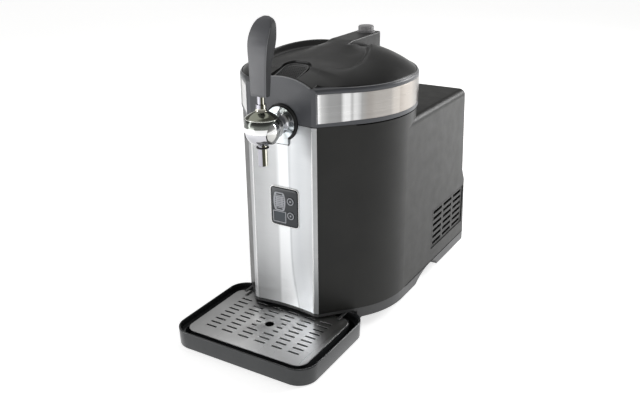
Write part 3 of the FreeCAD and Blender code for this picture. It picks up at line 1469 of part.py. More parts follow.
def make_latch_bar():
    """Latch bar: a sleeve on the pin with a hook near each end and a tab ahead of it."""
    end = s.lug_across - s.foam_gap
    sleeve = cylinder("bar_sleeve", s.bar_pin + 2.5, 2 * end, -end, -s.bar_along, s.bar_level, "x")
    tab = box("bar_tab", (-s.tab_half, -s.bar_along - s.tab_reach, s.bar_level),
              (s.tab_half, -s.bar_along, s.bar_level + s.tab_thick))
    parts = [sleeve, tab]
    for side in (1, -1):
        start = side * s.hook_across - s.hook_width / 2
        arm = box(f"hook_arm_{side}", (start, s.hook_nose - s.bar_along, s.hook_low),
                  (start + s.hook_width, s.hook_nose + s.hook_thick - s.bar_along, s.bar_level))
        nose = box(f"hook_nose_{side}", (start, -s.bar_along - s.hook_nose, s.hook_low),
                   (start + s.hook_width, s.hook_nose + 1 - s.bar_along, s.hook_low + s.hook_thick))
        parts += [arm, nose]
    hole = cylinder("bar_bore", s.bar_pin + s.running, 2 * end, -end, -s.bar_along, s.bar_level, "x")
    return cut("latch_bar", joined("latch_bar_form", parts), [hole])


def make_latch_pin():
    end = s.lug_across + s.lug_wall
    return cylinder("latch_pin", s.bar_pin, 2 * end, -end, -s.bar_along, s.bar_level, "x")


def make_keepers():
    """Two catches on the collar of the chamber's mouth."""
    keepers = []
    tip = -s.bar_along - s.hook_nose - 2 * s.foam_gap
    back = tip - s.keeper_reach
    for side in (1, -1):
        start = side * s.hook_across - s.hook_width / 2
        stop = start + s.hook_width
        low = s.hook_low + s.hook_thick + 2 * s.foam_gap
        upright = box(f"keeper_upright_{side}", (start, back, s.collar_high), (stop, back + s.keeper_wall,
                      low + s.keeper_wall))
        tooth = box(f"keeper_tooth_{side}", (start, back, low), (stop, tip, low + s.keeper_wall))
        foot = box(f"keeper_foot_{side}", (start, back, s.collar_high), (stop, tip + 6, s.collar_high + s.keeper_wall))
        keepers.append(joined(f"keeper_{side}", [upright, tooth, foot]))
    return group("latch_keepers", keepers)


def make_liner():
    """Inner lid: a plug for the chamber's mouth and a drum wall up to the ring, as one moulding."""
    liner = Moulding("liner_form")
    profile = liner.sketch("XZ")
    wall = s.liner_wall
    rim = s.ring_bore - s.foam_gap
    draw(profile, [
        (0, s.plug_low), (s.plug_radius, s.plug_low), (s.plug_radius, s.liner_step),
        (s.liner_radius, s.liner_step), (s.liner_radius, s.liner_high - wall), (rim, s.liner_high - wall),
        (rim, s.liner_high), (s.liner_radius - wall, s.liner_high), (s.liner_radius - wall, s.liner_step + wall),
        (s.plug_radius - wall, s.liner_step + wall), (s.plug_radius - wall, s.plug_low + wall),
        (0, s.plug_low + wall),
    ])
    liner.revolve(profile)
    half = s.lug_across + s.lug_wall + 3
    room = box("latch_room", (-half, -s.ring_bore, s.liner_step), (half, -s.liner_radius - 0.5, s.liner_high + 1))
    return cut("lid_liner", liner.body, [room])


def make_seal():
    return tube("lid_seal", s.liner_radius - 0.5, s.plug_radius + s.foam_gap, s.liner_step - s.collar_high
                - s.foam_gap, z=s.collar_high + s.foam_gap)


# ---------------------------------------------------------------- relief knob
def make_knob_collar():
    ring = tube("knob_collar", s.knob_collar, s.spindle_radius + s.foam_gap, s.knob_rest, y=s.knob_along,
                z=s.tower_high)
    return ring


def make_knob():
    """Relief knob: a domed cap with grip flutes round it, on its spindle."""
    knob = Moulding("relief_knob")
    low = s.tower_high + s.knob_rest + s.foam_gap
    profile = knob.sketch("XZ")
    edge = 1.5
    draw(profile, [
        (0, s.valve_low + 6), (s.spindle_radius, s.valve_low + 6), (s.spindle_radius, low),
        (s.knob_radius, low), (s.knob_radius, s.knob_high - edge), (s.knob_radius - edge, s.knob_high),
        (0, s.knob_high),
    ])
    knob.revolve(profile)
    flute = knob.sketch("XY", s.knob_high)
    draw_circle(flute, s.knob_radius + 0.9, 0, 1.6)
    first = knob.pocket(flute, s.knob_high - low)
    ring = knob.body.newObject("PartDesign::PolarPattern", "relief_knob_flutes")
    ring.Originals = [first]
    ring.Axis = (flute, ["N_Axis"])
    ring.Angle = 360
    ring.Occurrences = 12
    knob.body.Tip = ring
    bind(knob.body, "Placement.Base.y", s.knob_along)
    return knob.body


def make_valve():
    """Relief valve under the tower's roof."""
    top = s.tower_high - s.dome_wall
    body = cylinder("valve_body", s.spindle_radius + 5, top - s.valve_low, y=s.knob_along, z=s.valve_low)
    bore = cylinder("valve_bore", s.spindle_radius + s.running, top - s.valve_low, y=s.knob_along,
                    z=s.valve_low + 4)
    port = cylinder("valve_port", 1.5, top, y=s.knob_along, z=s.valve_low - 1)
    return cut("relief_valve", body, [bore, port])


# ---------------------------------------------------------------- tap
def make_tap_flange():
    """Round wall flange with the tab that keeps the tap from turning."""
    back = -s.flange_back
    disc = cylinder("flange_disc", s.flange_radius, s.flange_thick, y=back - s.flange_thick, z=s.tap_level,
                    along="y")
    tab = box("flange_tab", (s.foam_gap - s.key_half, back - s.flange_thick / 2, s.key_low + 2),
              (s.key_half - s.foam_gap, back, s.tap_level))
    hole = cylinder("flange_bore", s.shank_radius + s.running, 2 * s.flange_thick,
                    y=back - 1.5 * s.flange_thick, z=s.tap_level, along="y")
    return cut("tap_flange", joined("tap_flange_form", [disc, tab]), [hole])


def make_shank():
    start = -s.flange_back - s.flange_thick
    return tube("tap_shank", s.shank_radius, s.nozzle_bore, -start - s.shank_end, y=start, z=s.tap_level, along="y")


def make_nut():
    nut = Moulding("shank_nut")
    seat = root(s.cavity_radius * s.cavity_radius - s.nut_radius * s.nut_radius) - s.foam_gap
    face = nut.sketch("XZ", s.nut_thick - seat)
    corners = [(s.nut_radius * cosine(60 * i), s.tap_level + s.nut_radius * sine(60 * i)) for i in range(6)]
    draw(face, corners)
    nut.pad(face, s.nut_thick)
    hole = nut.sketch("XZ", -seat)
    draw_circle(hole, 0, s.tap_level, s.shank_radius + s.running)
    nut.pocket(hole, 3 * s.nut_thick, midplane=True)
    return nut.body


def make_barb():
    """Hose barb on the inner end of the shank."""
    step = (s.shank_end - s.barb_end) / 3
    parts = [
        cone(f"barb_{i}", s.barb_radius, s.barb_radius - 1.2, step, y=i * step - s.shank_end, z=s.tap_level, along="y")
        for i in range(3)
    ]
    hole = cylinder("barb_bore", s.barb_radius - 2.2, 4 * step, y=-s.shank_end - step / 2, z=s.tap_level, along="y")
    return cut("hose_barb", joined("barb_form", parts), [hole])


def make_tap_body():
    """Ball and neck of the tap, slotted for the lever and bored for spout, pin and plunger."""
    y = -s.tap_reach
    z = s.tap_level
    form = joined("tap_form", [
        ball("tap_ball", s.ball_radius, y=y, z=z),
        cylinder("tap_neck", s.neck_radius, s.tap_reach - s.flange_back - s.flange_thick, y=y, z=z, along="y"),
    ])
    half = s.stem_radius + s.hood_gap
    low = z - s.finger_length - 1.5
    socket = cylinder("spout_socket", s.nozzle_radius + s.running, s.ball_radius, y=y, z=z - 1.79 * s.ball_radius)
    above = lever_slot(half, y, z)
    below = box("lever_slot_below", (-half, y - half, low), (half, y + s.finger_length + 1.5, z + 1))
    port = cylinder("spout_port", s.nozzle_bore, s.ball_radius, y=y, z=low + 1 - s.ball_radius)
    hub = cylinder("lever_slot_hub", half, 2 * half, -half, y, z, "x")
    pin = cylinder("pivot_bore", s.pivot_radius, 2 * s.ball_radius, -s.ball_radius, y, z, "x")
    guide = cylinder("plunger_bore", s.plunger_radius + s.running, s.plunger_length + 8,
                     y=y + half, z=plunger_level(), along="y")
    return cut("tap_body", form, [socket, port, above, below, hub, pin, guide])


def lever_slot(half, y, z):
    """Slot in the ball for the stem, from upright to its full tilt."""
    lean = s.lever_swing
    reach = s.ball_radius * 1.2
    rise = s.ball_radius + 2
    front = y - half * cosine(lean) - reach * sine(lean)
    slot = Moulding("lever_slot")
    side = slot.sketch("YZ")
    draw(side, [
        (y + half, z - 1), (y + half, z + rise), (front, z + rise),
        (front, z - half * sine(lean) + reach * cosine(lean)),
        (y - half * cosine(lean), z - half * sine(lean)),
    ])
    slot.pad(side, 2 * half, midplane=True)
    return slot.body


def plunger_level():
    return s.tap_level - s.finger_length + 2


def make_plunger():
    start = s.stem_radius + s.foam_gap - s.tap_reach
    return cylinder("valve_plunger", s.plunger_radius, s.plunger_length, y=start, z=plunger_level(), along="y")


def make_pivot():
    reach = s.ball_radius - 1
    return cylinder("pivot_pin", s.pivot_radius, 2 * reach, -reach, -s.tap_reach, s.tap_level, "x")


def make_tap_ring():
    return tube("tap_ring", s.collar_radius, s.neck_radius + s.running, s.collar_length, y=-s.collar_along,
                z=s.tap_level, along="y")


def make_nozzle():
    top = s.tap_level - 0.81 * s.ball_radius
    return tube("tap_nozzle", s.nozzle_radius, s.nozzle_bore, top - s.nozzle_low, y=-s.tap_reach, z=s.nozzle_low)


def make_o_ring():
    thick = size(1.0)
    return torus("nozzle_o_ring", s.nozzle_radius + thick + s.running, thick, y=-s.tap_reach,
                 z=s.tap_level - s.ball_radius - 1.1)


def make_lever_hood():
    """Hood of the lever: a spherical shell over the ball, open behind for the neck."""
    y = -s.tap_reach
    z = s.tap_level
    inner = s.ball_radius + s.hood_gap
    outer = inner + s.hood_wall
    far = 2 * outer
    below = box("hood_below", (-far, y - far, z - far), (far, y + far, z + s.hood_low))
    behind = box("hood_behind", (-far, y + s.hood_back, z - far), (far, y + far, z + far))
    hole = cylinder("hood_stem_hole", s.stem_radius, far, y=y, z=z)
    return cut("lever_hood", ball("hood_outside", outer, y=y, z=z),
               [ball("hood_inside", inner, y=y, z=z), below, behind, hole])


def make_lever_stem():
    """Stem of the lever with its finger below the pivot."""
    low = s.tap_level - s.finger_length
    stem = cylinder("stem_rod", s.stem_radius, s.grip_low - low, y=-s.tap_reach, z=low)
    hole = cylinder("stem_bore", s.pivot_radius + s.running, 4 * s.stem_radius, -2 * s.stem_radius, -s.tap_reach,
                    s.tap_level, "x")
    return cut("lever_stem", stem, [hole])


def make_sleeve():
    low = s.tap_level + s.ball_radius + s.hood_gap + s.hood_wall
    return tube("lever_sleeve", s.sleeve_radius, s.stem_radius + s.running, s.sleeve_high - low, y=-s.tap_reach,
                z=low)


GRIP = [
    # shares of the handle's length, lean, foot's half width and foot's half depth
    (0.000, 0.000, 1.000, 1.00),
    (0.247, 0.107, 1.017, 1.02),
    (0.479, 0.357, 1.133, 1.19),
    (0.689, 0.679, 1.300, 1.54),
    (0.858, 0.857, 1.167, 1.54),
    (0.963, 0.964, 0.717, 1.00),
    (1.000, 1.000, 0.375, 0.50),
]


def make_handle():
    """Tap handle: lofted from a flat foot to a full paddle that leans back."""
    handle = Moulding("tap_handle")
    sections = []
    for along, back, wide, deep in GRIP:
        section = handle.sketch("XY", s.grip_low + s.grip_length * along)
        middle = s.grip_lean * back - s.grip_ahead - s.tap_reach
        wide = s.grip_half * wide
        deep = s.grip_deep * deep
        draw(section, rounded(-wide, middle - deep, wide, middle + deep, deep * 0.9))
        sections.append(section)
    handle.loft(sections)
    return handle.body


# ---------------------------------------------------------------- the parts
def named(feature, label):
    """Gives a finished node its own name, whatever its features are called."""
    feature.Label = label
    return feature


NODES = [
    named(make_base_pan(), "base_pan"),
    named(make_feet(), "rubber_feet"),
    named(make_housing(), "housing"),
    named(make_front_panel(), "front_panel"),
    named(make_bezel(), "control_panel"),
    named(make_display(), "display_window"),
    named(make_button("button_upper", s.button_high), "button_upper"),
    named(make_button("button_lower", s.button_low), "button_lower"),
    named(make_board(), "control_board"),
    named(make_vent(1, "side_vent_right"), "side_vent_right"),
    named(make_vent(-1, "side_vent_left"), "side_vent_left"),
    named(make_outlet_grille(), "rear_grille"),
    named(make_inlet(), "power_inlet"),
    named(make_chamber(), "keg_chamber"),
    named(make_collar(), "chamber_collar"),
    named(make_foam(), "insulation"),
    named(make_cold_block(), "cold_block"),
    named(make_peltier(), "peltier_module"),
    named(make_heat_sink(), "heat_sink"),
    named(make_fan_frame(), "fan_frame"),
    named(make_rotor(), "fan_rotor"),
    named(make_shelf(), "supply_shelf"),
    named(make_supply(), "power_supply"),
    named(make_tray(), "drip_tray"),
    named(make_grate(), "drip_grate"),
    named(make_hinge_brackets(), "hinge_brackets"),
    named(make_hinge_pin(), "hinge_pin"),
    named(make_lid_ring(), "lid_ring"),
    named(make_band(1, "trim_band_right"), "trim_band_right"),
    named(make_band(-1, "trim_band_left"), "trim_band_left"),
    named(make_lid_shell(), "lid_shell"),
    named(make_liner(), "lid_liner"),
    named(make_seal(), "lid_seal"),
    named(make_latch_button(), "latch_button"),
    named(make_latch_bar(), "latch_bar"),
    named(make_latch_pin(), "latch_pin"),
    named(make_keepers(), "latch_keepers"),
    named(make_knob_collar(), "knob_collar"),
    named(make_knob(), "relief_knob"),
    named(make_valve(), "relief_valve"),
    named(make_tap_flange(), "tap_flange"),
    named(make_shank(), "tap_shank"),
    named(make_nut(), "shank_nut"),
    named(make_barb(), "hose_barb"),
    named(make_tap_body(), "tap_body"),
    named(make_tap_ring(), "tap_ring"),
    named(make_nozzle(), "tap_nozzle"),
    named(make_o_ring(), "nozzle_o_ring"),
    named(make_pivot(), "pivot_pin"),
    named(make_plunger(), "valve_plunger"),
    named(make_lever_hood(), "lever_hood"),
    named(make_lever_stem(), "lever_stem"),
    named(make_sleeve(), "lever_sleeve"),
    named(make_handle(), "tap_handle"),
]

DOC.recompute()

for item in DOC.Objects:
    if "Invalid" in item.State or "Error" in item.State:
        raise RuntimeError(f"{item.Label} did not compute: {item.State}")
for node in NODES:
    if node.Shape.isNull() or not node.Shape.isValid() or not node.Shape.Solids:
        raise RuntimeError(f"{node.Label} has no valid solid")

# The origin lies on the table under the middle of the whole, tray and compartment included.
middle = Vector(0, float(s.tray_front - s.rear_foot) / 2, 0)
os.makedirs("parts", exist_ok=True)
for node in NODES:
    shape = node.Shape.copy()
    shape.translate(middle)
    shape.exportStep(f"parts/{node.Label}.step")
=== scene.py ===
"""Mini keg beer dispenser: the looks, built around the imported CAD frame.

Materials come first, then the pieces from the lid down to the tray, then floor, light and camera.
Materials measure in metres, as the frame does. Shapes measure in millimetres from the drum's axis,
which lies AHEAD mm in front of the frame's middle; x runs to the right, y to the back, z up.
"""

import math

import bmesh
import bpy
import numpy as np
from mathutils import Matrix, Vector


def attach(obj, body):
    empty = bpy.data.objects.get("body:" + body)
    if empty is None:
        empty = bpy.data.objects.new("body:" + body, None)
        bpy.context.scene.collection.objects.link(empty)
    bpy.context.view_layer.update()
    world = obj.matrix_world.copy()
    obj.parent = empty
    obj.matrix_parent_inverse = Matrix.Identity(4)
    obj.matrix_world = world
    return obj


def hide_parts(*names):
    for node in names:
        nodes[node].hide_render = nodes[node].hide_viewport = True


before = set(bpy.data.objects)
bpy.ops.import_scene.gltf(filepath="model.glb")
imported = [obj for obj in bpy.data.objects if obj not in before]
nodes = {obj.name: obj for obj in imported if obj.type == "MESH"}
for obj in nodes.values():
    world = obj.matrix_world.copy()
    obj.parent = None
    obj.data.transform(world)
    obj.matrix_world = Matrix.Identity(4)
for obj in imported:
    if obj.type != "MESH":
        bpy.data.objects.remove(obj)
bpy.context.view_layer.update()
scene = bpy.context.scene

AHEAD = 2.2
TAP_Y, TAP_Z = -169.0, 302.0    # middle of the tap's ball, where the lever pivots


# ---------------------------------------------------------------- materials
CLOUDS, SHEEN = 14.0, 55.0      # noise scales of mouldings: clouding and unevenness in the gloss
RIPPLE, HAZE = 90.0, 160.0      # noise scales of chrome: waviness and unevenness in the gloss
MOULD_EDGE, METAL_EDGE = 0.0006, 0.0005     # radii that edges are shaded round by
FOOT_HEIGHTS = (0.03, 0.14)     # where the steel front's painted reflection streaks bend, lowest first
FOOT_WIDTHS = (-0.006, 0.016)   # from where to where across the bend sets in


def fill(node, stops):
    """Sets a colour ramp to (place, colour) stops that rise from the ramp's start to its end."""
    ends = node.color_ramp.elements
    for where, _ in stops[1:-1]:
        ends.new(where)
    for i, (where, colour) in enumerate(stops):
        ends[i].position = where
        ends[i].color = (*colour, 1)


class Finish:
    """One procedural material: a principled shader and the nodes that drive it."""

    def __init__(self, name, metallic=0.0, **constants):
        self.material = bpy.data.materials.new(name)
        self.material.use_nodes = True
        self.tree = self.material.node_tree
        self.shader = self.tree.nodes["Principled BSDF"]
        self.shader.inputs["Metallic"].default_value = metallic
        self.shader.inputs["IOR"].default_value = 1.5
        for key, value in constants.items():
            self.shader.inputs[key.replace("_", " ")].default_value = value
        self.place = self.add("ShaderNodeTexCoord").outputs["Object"]

    def add(self, kind, **settings):
        node = self.tree.nodes.new(kind)
        for key, value in settings.items():
            setattr(node, key, value)
        return node

    def link(self, source, target):
        self.tree.links.new(source, target)

    def maths(self, operation, first, second):
        """One sum on two values, each a node's output or a plain number."""
        node = self.add("ShaderNodeMath", operation=operation)
        for slot, value in zip(node.inputs, (first, second)):
            if isinstance(value, (int, float)):
                slot.default_value = value
            else:
                self.link(value, slot)
        return node.outputs["Value"]

    def split(self):
        """Object coordinates as three values."""
        node = self.add("ShaderNodeSeparateXYZ")
        self.link(self.place, node.inputs["Vector"])
        return node.outputs["X"], node.outputs["Y"], node.outputs["Z"]

    def stretched(self, scale):
        """Object coordinates multiplied axis by axis, for lines and streaks."""
        node = self.add("ShaderNodeMapping")
        node.inputs["Scale"].default_value = scale
        self.link(self.place, node.inputs["Vector"])
        return node.outputs["Vector"]

    def noise(self, scale, detail=3.0, rough=0.5, vector=None):
        node = self.add("ShaderNodeTexNoise")
        node.inputs["Scale"].default_value = scale
        node.inputs["Detail"].default_value = detail
        node.inputs["Roughness"].default_value = rough
        self.link(vector or self.place, node.inputs["Vector"])
        return node.outputs["Fac"]

    def spread(self, source, low, high, start=0.3, end=0.7):
        """A value between start and end moved to the range low..high; a noise keeps to 0.3..0.7."""
        node = self.add("ShaderNodeMapRange")
        node.inputs["From Min"].default_value = start
        node.inputs["From Max"].default_value = end
        node.inputs["To Min"].default_value = low
        node.inputs["To Max"].default_value = high
        self.link(source, node.inputs["Value"])
        return node.outputs["Result"]

    def ramp(self, source, stops):
        node = self.add("ShaderNodeValToRGB")
        fill(node, stops)
        self.link(source, node.inputs["Fac"])
        return node.outputs["Color"]

    def bands(self, where, tones, wander):
        """Colours laid out along a value, as (place, colour) pairs; wander moves their borders."""
        low, high = tones[0][0], tones[-1][0]
        moved = self.maths("ADD", self.spread(where, 0.0, 1.0, low, high), wander)
        return self.ramp(moved, [((place - low) / (high - low), tone) for place, tone in tones])

    def soft_edges(self, radius):
        """Normals rounded over the edges, as a mould or a die leaves them."""
        node = self.add("ShaderNodeBevel", samples=4)
        node.inputs["Radius"].default_value = radius
        return node.outputs["Normal"]

    def colour(self, source, low, high):
        """The shader's colour, clouded between two tones by a noise."""
        self.link(self.ramp(source, [(0.35, low), (0.65, high)]), self.shader.inputs["Base Color"])

    def roughness(self, source, low, high):
        self.link(self.spread(source, low, high), self.shader.inputs["Roughness"])

    def bump(self, source, height, strength, edge):
        """Relief from a value, on top of edges shaded round by a radius."""
        node = self.add("ShaderNodeBump")
        node.inputs["Distance"].default_value = height
        node.inputs["Strength"].default_value = strength
        self.link(source, node.inputs["Height"])
        self.link(self.soft_edges(edge), node.inputs["Normal"])
        self.link(node.outputs["Normal"], self.shader.inputs["Normal"])


def moulded(name, low, high, rough, grain=1100.0, height=0.00004, level=0.5):
    """Moulded plastic: faint clouding, an eroded grain, an uneven sheen and soft edges."""
    f = Finish(name, Specular_IOR_Level=level)
    f.colour(f.noise(CLOUDS, 4.0), low, high)
    f.roughness(f.noise(SHEEN, 3.0), rough - 0.03, rough + 0.04)
    f.bump(f.noise(grain, 2.0), height, 0.35, MOULD_EDGE)
    return f.material


# Broad soft streaks painted into brushed steel's colour: painted reflections on the steel front,
# the ring's bands and the grate, a painted highlight on the folds, and a plain tone on the plain
# kind. Each table gives the way they are counted, how far they wander, and for each the place in
# metres or radians, the tone and the warmth.
PAINTED_REFLECTIONS_PANEL = ("X", 0.015, [
    (-0.056, 0.44, -0.02), (-0.047, 0.56, -0.03), (-0.036, 0.56, -0.03), (-0.026, 0.60, -0.03),
    (-0.012, 0.62, -0.03), (-0.008, 0.90, -0.03), (0.006, 0.92, -0.03), (0.0085, 0.56, -0.06),
    (0.0115, 0.70, -0.05), (0.024, 0.60, -0.06), (0.034, 0.60, -0.05), (0.0455, 0.56, -0.05),
    (0.056, 0.62, 0)])
PAINTED_REFLECTIONS_BAND = ("ROUND", 0.0015, [
    (-3.2, 0.5, 0), (-2.44, 0.06, 0), (-2.31, 0.10, 0), (-2.27, 0.62, 0), (-1.19, 1.0, 0),
    (-1.145, 1.0, 0), (-1.135, 0.62, 0), (-1.06, 0.36, 0), (-0.935, 0.32, 0), (-0.922, 0.86, 0),
    (-0.84, 0.82, 0), (-0.825, 0.5, 0), (-0.81, 0.76, 0), (-0.76, 0.72, 0), (-0.735, 0.40, 0),
    (-0.64, 0.36, 0.12), (-0.56, 0.42, 0.1), (-0.45, 0.40, 0.1), (-0.36, 0.38, 0.1),
    (-0.345, 0.48, 0.12), (-0.25, 0.44, 0.14), (-0.235, 0.34, 0.16), (0.0, 0.32, 0.16),
    (0.1, 0.26, 0.14), (0.35, 0.22, 0.12), (1.2, 0.4, 0.1), (3.2, 0.5, 0)])
PAINTED_REFLECTIONS_GRATE = ("X", 0.02, [
    (-0.1, 0.34, 0), (-0.05, 0.50, 0), (0.0, 0.92, 0), (0.02, 0.92, -0.01), (0.06, 0.80, 0),
    (0.1, 0.66, 0)])
PAINTED_HIGHLIGHT_FOLD = ("X", 0.02, [(-0.06, 1.0, 0), (0.06, 1.0, 0)])
STREAKS_PLAIN = ("X", 0.02, [(-0.1, 0.55, 0), (0.1, 0.60, 0)])


def brushed(name, streaks, rough, lines, anisotropy=0.8, height=0.00001, upright=True, fade=None):
    """Brushed steel: fine lines along the axes where lines is small, and broad soft streaks in the
    colour, which are painted reflections and highlights on all but the plain kind.

    fade is (low z, high z, tone at the top, sweep): the painted reflections darken towards the top,
    and those right of the middle sweep outwards at the foot."""
    f = Finish(name, metallic=1.0, Anisotropic=anisotropy)
    fine = f.noise(1.0, 4.0, 0.6, vector=f.stretched(lines))
    way, sway, tones = streaks
    x, y, z = f.split()
    where = f.maths("ARCTAN2", y, x) if way == "ROUND" else x
    if fade:
        fade_low, fade_high, top_tone, sweep = fade
        foot = f.maths("POWER", f.spread(z, 1.0, 0.0, *FOOT_HEIGHTS), 2.0)
        lean = f.maths("MULTIPLY", foot, f.spread(where, 0.0, sweep, *FOOT_WIDTHS))
        where = f.maths("SUBTRACT", where, lean)
    warmed = [(place, (tone, tone * (1 - warm / 2), tone * (1 - warm)))
              for place, tone, warm in tones]
    wander = f.spread(f.noise(1.0, 2.0, vector=f.stretched((70, 70, 3))), -sway, sway)
    colour = f.bands(where, warmed, wander)
    if fade:
        dim = f.add("ShaderNodeVectorMath", operation="SCALE")
        f.link(colour, dim.inputs[0])
        f.link(f.spread(z, 1.0, top_tone, fade_low, fade_high), dim.inputs["Scale"])
        colour = dim.outputs["Vector"]
    f.link(colour, f.shader.inputs["Base Color"])
    f.roughness(fine, rough - 0.05, rough + 0.07)
    f.bump(fine, height, 0.4, METAL_EDGE)
    if upright and anisotropy:
        up = f.add("ShaderNodeCombineXYZ")
        up.inputs["Z"].default_value = 1.0
        turn = f.add("ShaderNodeVectorTransform", vector_type="VECTOR",
                     convert_from="OBJECT", convert_to="WORLD")
        f.link(up.outputs["Vector"], turn.inputs["Vector"])
        f.link(turn.outputs["Vector"], f.shader.inputs["Tangent"])
    return f.material


def polished(name, low, high, rough):
    """Chrome plate: a mirror with faint waviness from the polished casting under it."""
    f = Finish(name, metallic=1.0)
    f.colour(f.noise(30.0, 3.0), low, high)
    f.roughness(f.noise(HAZE, 3.0), rough, rough + 0.05)
    f.bump(f.noise(RIPPLE, 2.0), 0.00006, 0.25, METAL_EDGE)
    return f.material


def painted_reflection_chrome(name, tones, rough, way="Z", centre=(0, 0), wander=0.0):
    """Chrome with painted reflections in bands of tone: along Z in metres, or round an axis through
    centre in radians.

    The axis is upright, with centre its x and y, or level and pointing ahead, with its x and z."""
    f = Finish(name, metallic=1.0)
    x, y, z = f.split()
    where = z
    if way != "Z":
        across = f.maths("SUBTRACT", y if way == "UPRIGHT" else z, centre[1])
        where = f.maths("ARCTAN2", across, f.maths("SUBTRACT", x, centre[0]))
    colour = f.bands(where, tones, f.spread(f.noise(60.0, 2.0), -wander, wander))
    f.link(colour, f.shader.inputs["Base Color"])
    f.roughness(f.noise(HAZE, 3.0), rough, rough + 0.05)
    f.bump(f.noise(RIPPLE, 2.0), 0.00005, 0.2, METAL_EDGE)
    return f.material


HOUSING = moulded("housing_grey", (0.018, 0.018, 0.0172), (0.023, 0.023, 0.0218), 0.38, level=0.22)
BASE = moulded("base_grey", (0.055, 0.056, 0.058), (0.065, 0.066, 0.068), 0.36, level=0.4)
LID = moulded("lid_grey", (0.014, 0.014, 0.0138), (0.018, 0.018, 0.0176), 0.34, level=0.36)
# a lighter copy of the lid's plastic, a painted highlight on the push button's rim
LID_RIM_PAINTED_HIGHLIGHT = moulded("lid_rim_painted_highlight", (0.060, 0.060, 0.060), (0.072, 0.072, 0.072), 0.30)
KNOB = moulded("knob_grey", (0.300, 0.294, 0.302), (0.340, 0.334, 0.342), 0.34)
# a light grey for beads on edges, a painted highlight
EDGE_PAINTED_HIGHLIGHT = moulded("edge_painted_highlight", (0.230, 0.232, 0.240), (0.270, 0.272, 0.280), 0.30)
FASCIA = moulded("fascia_grey", (0.066, 0.069, 0.077), (0.078, 0.081, 0.090), 0.36, level=0.42)
HANDLE = moulded("handle_grey", (0.098, 0.100, 0.108), (0.112, 0.114, 0.123), 0.34)
# darker and lighter copies of the handle's plastic: painted shade for its sides, a painted
# highlight for its lip
HANDLE_SIDE_PAINTED_SHADE = moulded("handle_side_painted_shade", (0.040, 0.041, 0.043), (0.048, 0.049, 0.051), 0.55, level=0.12)
HANDLE_LIP_PAINTED_HIGHLIGHT = moulded("handle_lip_painted_highlight", (0.170, 0.172, 0.180), (0.190, 0.192, 0.200), 0.34)
TRAY = moulded("tray_grey", (0.026, 0.028, 0.030), (0.034, 0.036, 0.038), 0.20, height=0.00002)
BLACK = moulded("black_plastic", (0.010, 0.010, 0.010), (0.016, 0.016, 0.016), 0.38)
GLOSS = moulded("gloss_black", (0.018, 0.022, 0.026), (0.024, 0.028, 0.032), 0.20, height=0.00001)
WINDOW = moulded("window", (0.035, 0.045, 0.055), (0.045, 0.055, 0.066), 0.10, height=0.000004)
PRINT = moulded("panel_print", (0.36, 0.37, 0.40), (0.42, 0.43, 0.46), 0.45)
FOAM = moulded("foam", (0.62, 0.55, 0.36), (0.72, 0.65, 0.45), 0.85, 260.0, 0.0006)
# near-black beads that paint the shade in seams
SHADE = moulded("painted_seam_shade", (0.002, 0.002, 0.002), (0.003, 0.003, 0.003), 0.9, level=0.05)
RUBBER = moulded("rubber", (0.012, 0.012, 0.012), (0.018, 0.018, 0.018), 0.72, 700.0, 0.0001)
WHITE = moulded("white_plastic", (0.60, 0.60, 0.58), (0.68, 0.68, 0.66), 0.45)
GREEN = moulded("green_board", (0.010, 0.085, 0.035), (0.016, 0.110, 0.045), 0.35, 400.0)

# the steel front's colour holds painted reflections that darken towards the top
STEEL = brushed("stainless", PAINTED_REFLECTIONS_PANEL, 0.34, (4, 4, 700), fade=(0.05, 0.24, 0.70, 0.014))
# the folds' even white colour is a painted highlight
FOLD_PAINTED_HIGHLIGHT = brushed("fold_steel_painted_highlight", PAINTED_HIGHLIGHT_FOLD, 0.45, (4, 4, 300))
# the band's colour holds painted reflections in streaks round the ring
BAND = brushed("band_steel", PAINTED_REFLECTIONS_BAND, 0.30, (4, 4, 700))
# the grate's colour holds painted reflections, brightest across the middle
GRATE = brushed("grate_steel", PAINTED_REFLECTIONS_GRATE, 0.32, (900, 8, 8), height=0.000001, upright=False)
ALUMINIUM = brushed("aluminium", STREAKS_PLAIN, 0.36, (10, 10, 500), anisotropy=0.4)
ZINC = brushed("zinc", STREAKS_PLAIN, 0.34, (200, 200, 200), anisotropy=0.0)

# tones of the painted reflections in the tap's chrome
REFLECTED_LILAC, REFLECTED_CREAM, REFLECTED_OLIVE = (0.42, 0.415, 0.46), (0.84, 0.82, 0.72), (0.05, 0.05, 0.034)
REFLECTED_PALE = (0.90, 0.90, 0.90)
CHROME = polished("chrome", (0.78, 0.78, 0.77), (0.86, 0.86, 0.85), 0.035)
# painted reflections round the upright axis of the nozzle and the lever
ROD = painted_reflection_chrome("chrome_rod", [
    (-3.15, REFLECTED_PALE), (-2.75, REFLECTED_OLIVE), (-2.30, REFLECTED_LILAC), (-1.13, REFLECTED_LILAC), (-1.06, REFLECTED_OLIVE), (-0.44, REFLECTED_OLIVE),
    (-0.37, REFLECTED_CREAM), (0.3, REFLECTED_CREAM), (0.6, REFLECTED_OLIVE), (1.4, REFLECTED_LILAC), (2.2, REFLECTED_OLIVE), (2.6, REFLECTED_PALE),
    (3.15, REFLECTED_PALE)], 0.05, "UPRIGHT", (0, (TAP_Y - AHEAD) / 1000), 0.004)
# painted reflections in bands up the hood: a dark band under bright lines, cream at the top
HOOD = painted_reflection_chrome("chrome_hood", [
    (0.296, REFLECTED_PALE), (0.3085, REFLECTED_PALE), (0.3092, (0.17, 0.18, 0.165)), (0.3182, (0.15, 0.16, 0.15)),
    (0.3186, (0.80, 0.81, 0.76)), (0.3196, (0.74, 0.75, 0.68)), (0.3200, (0.27, 0.28, 0.23)),
    (0.3272, (0.24, 0.25, 0.20)), (0.3277, REFLECTED_CREAM), (0.332, REFLECTED_CREAM)], 0.09, wander=0.004)
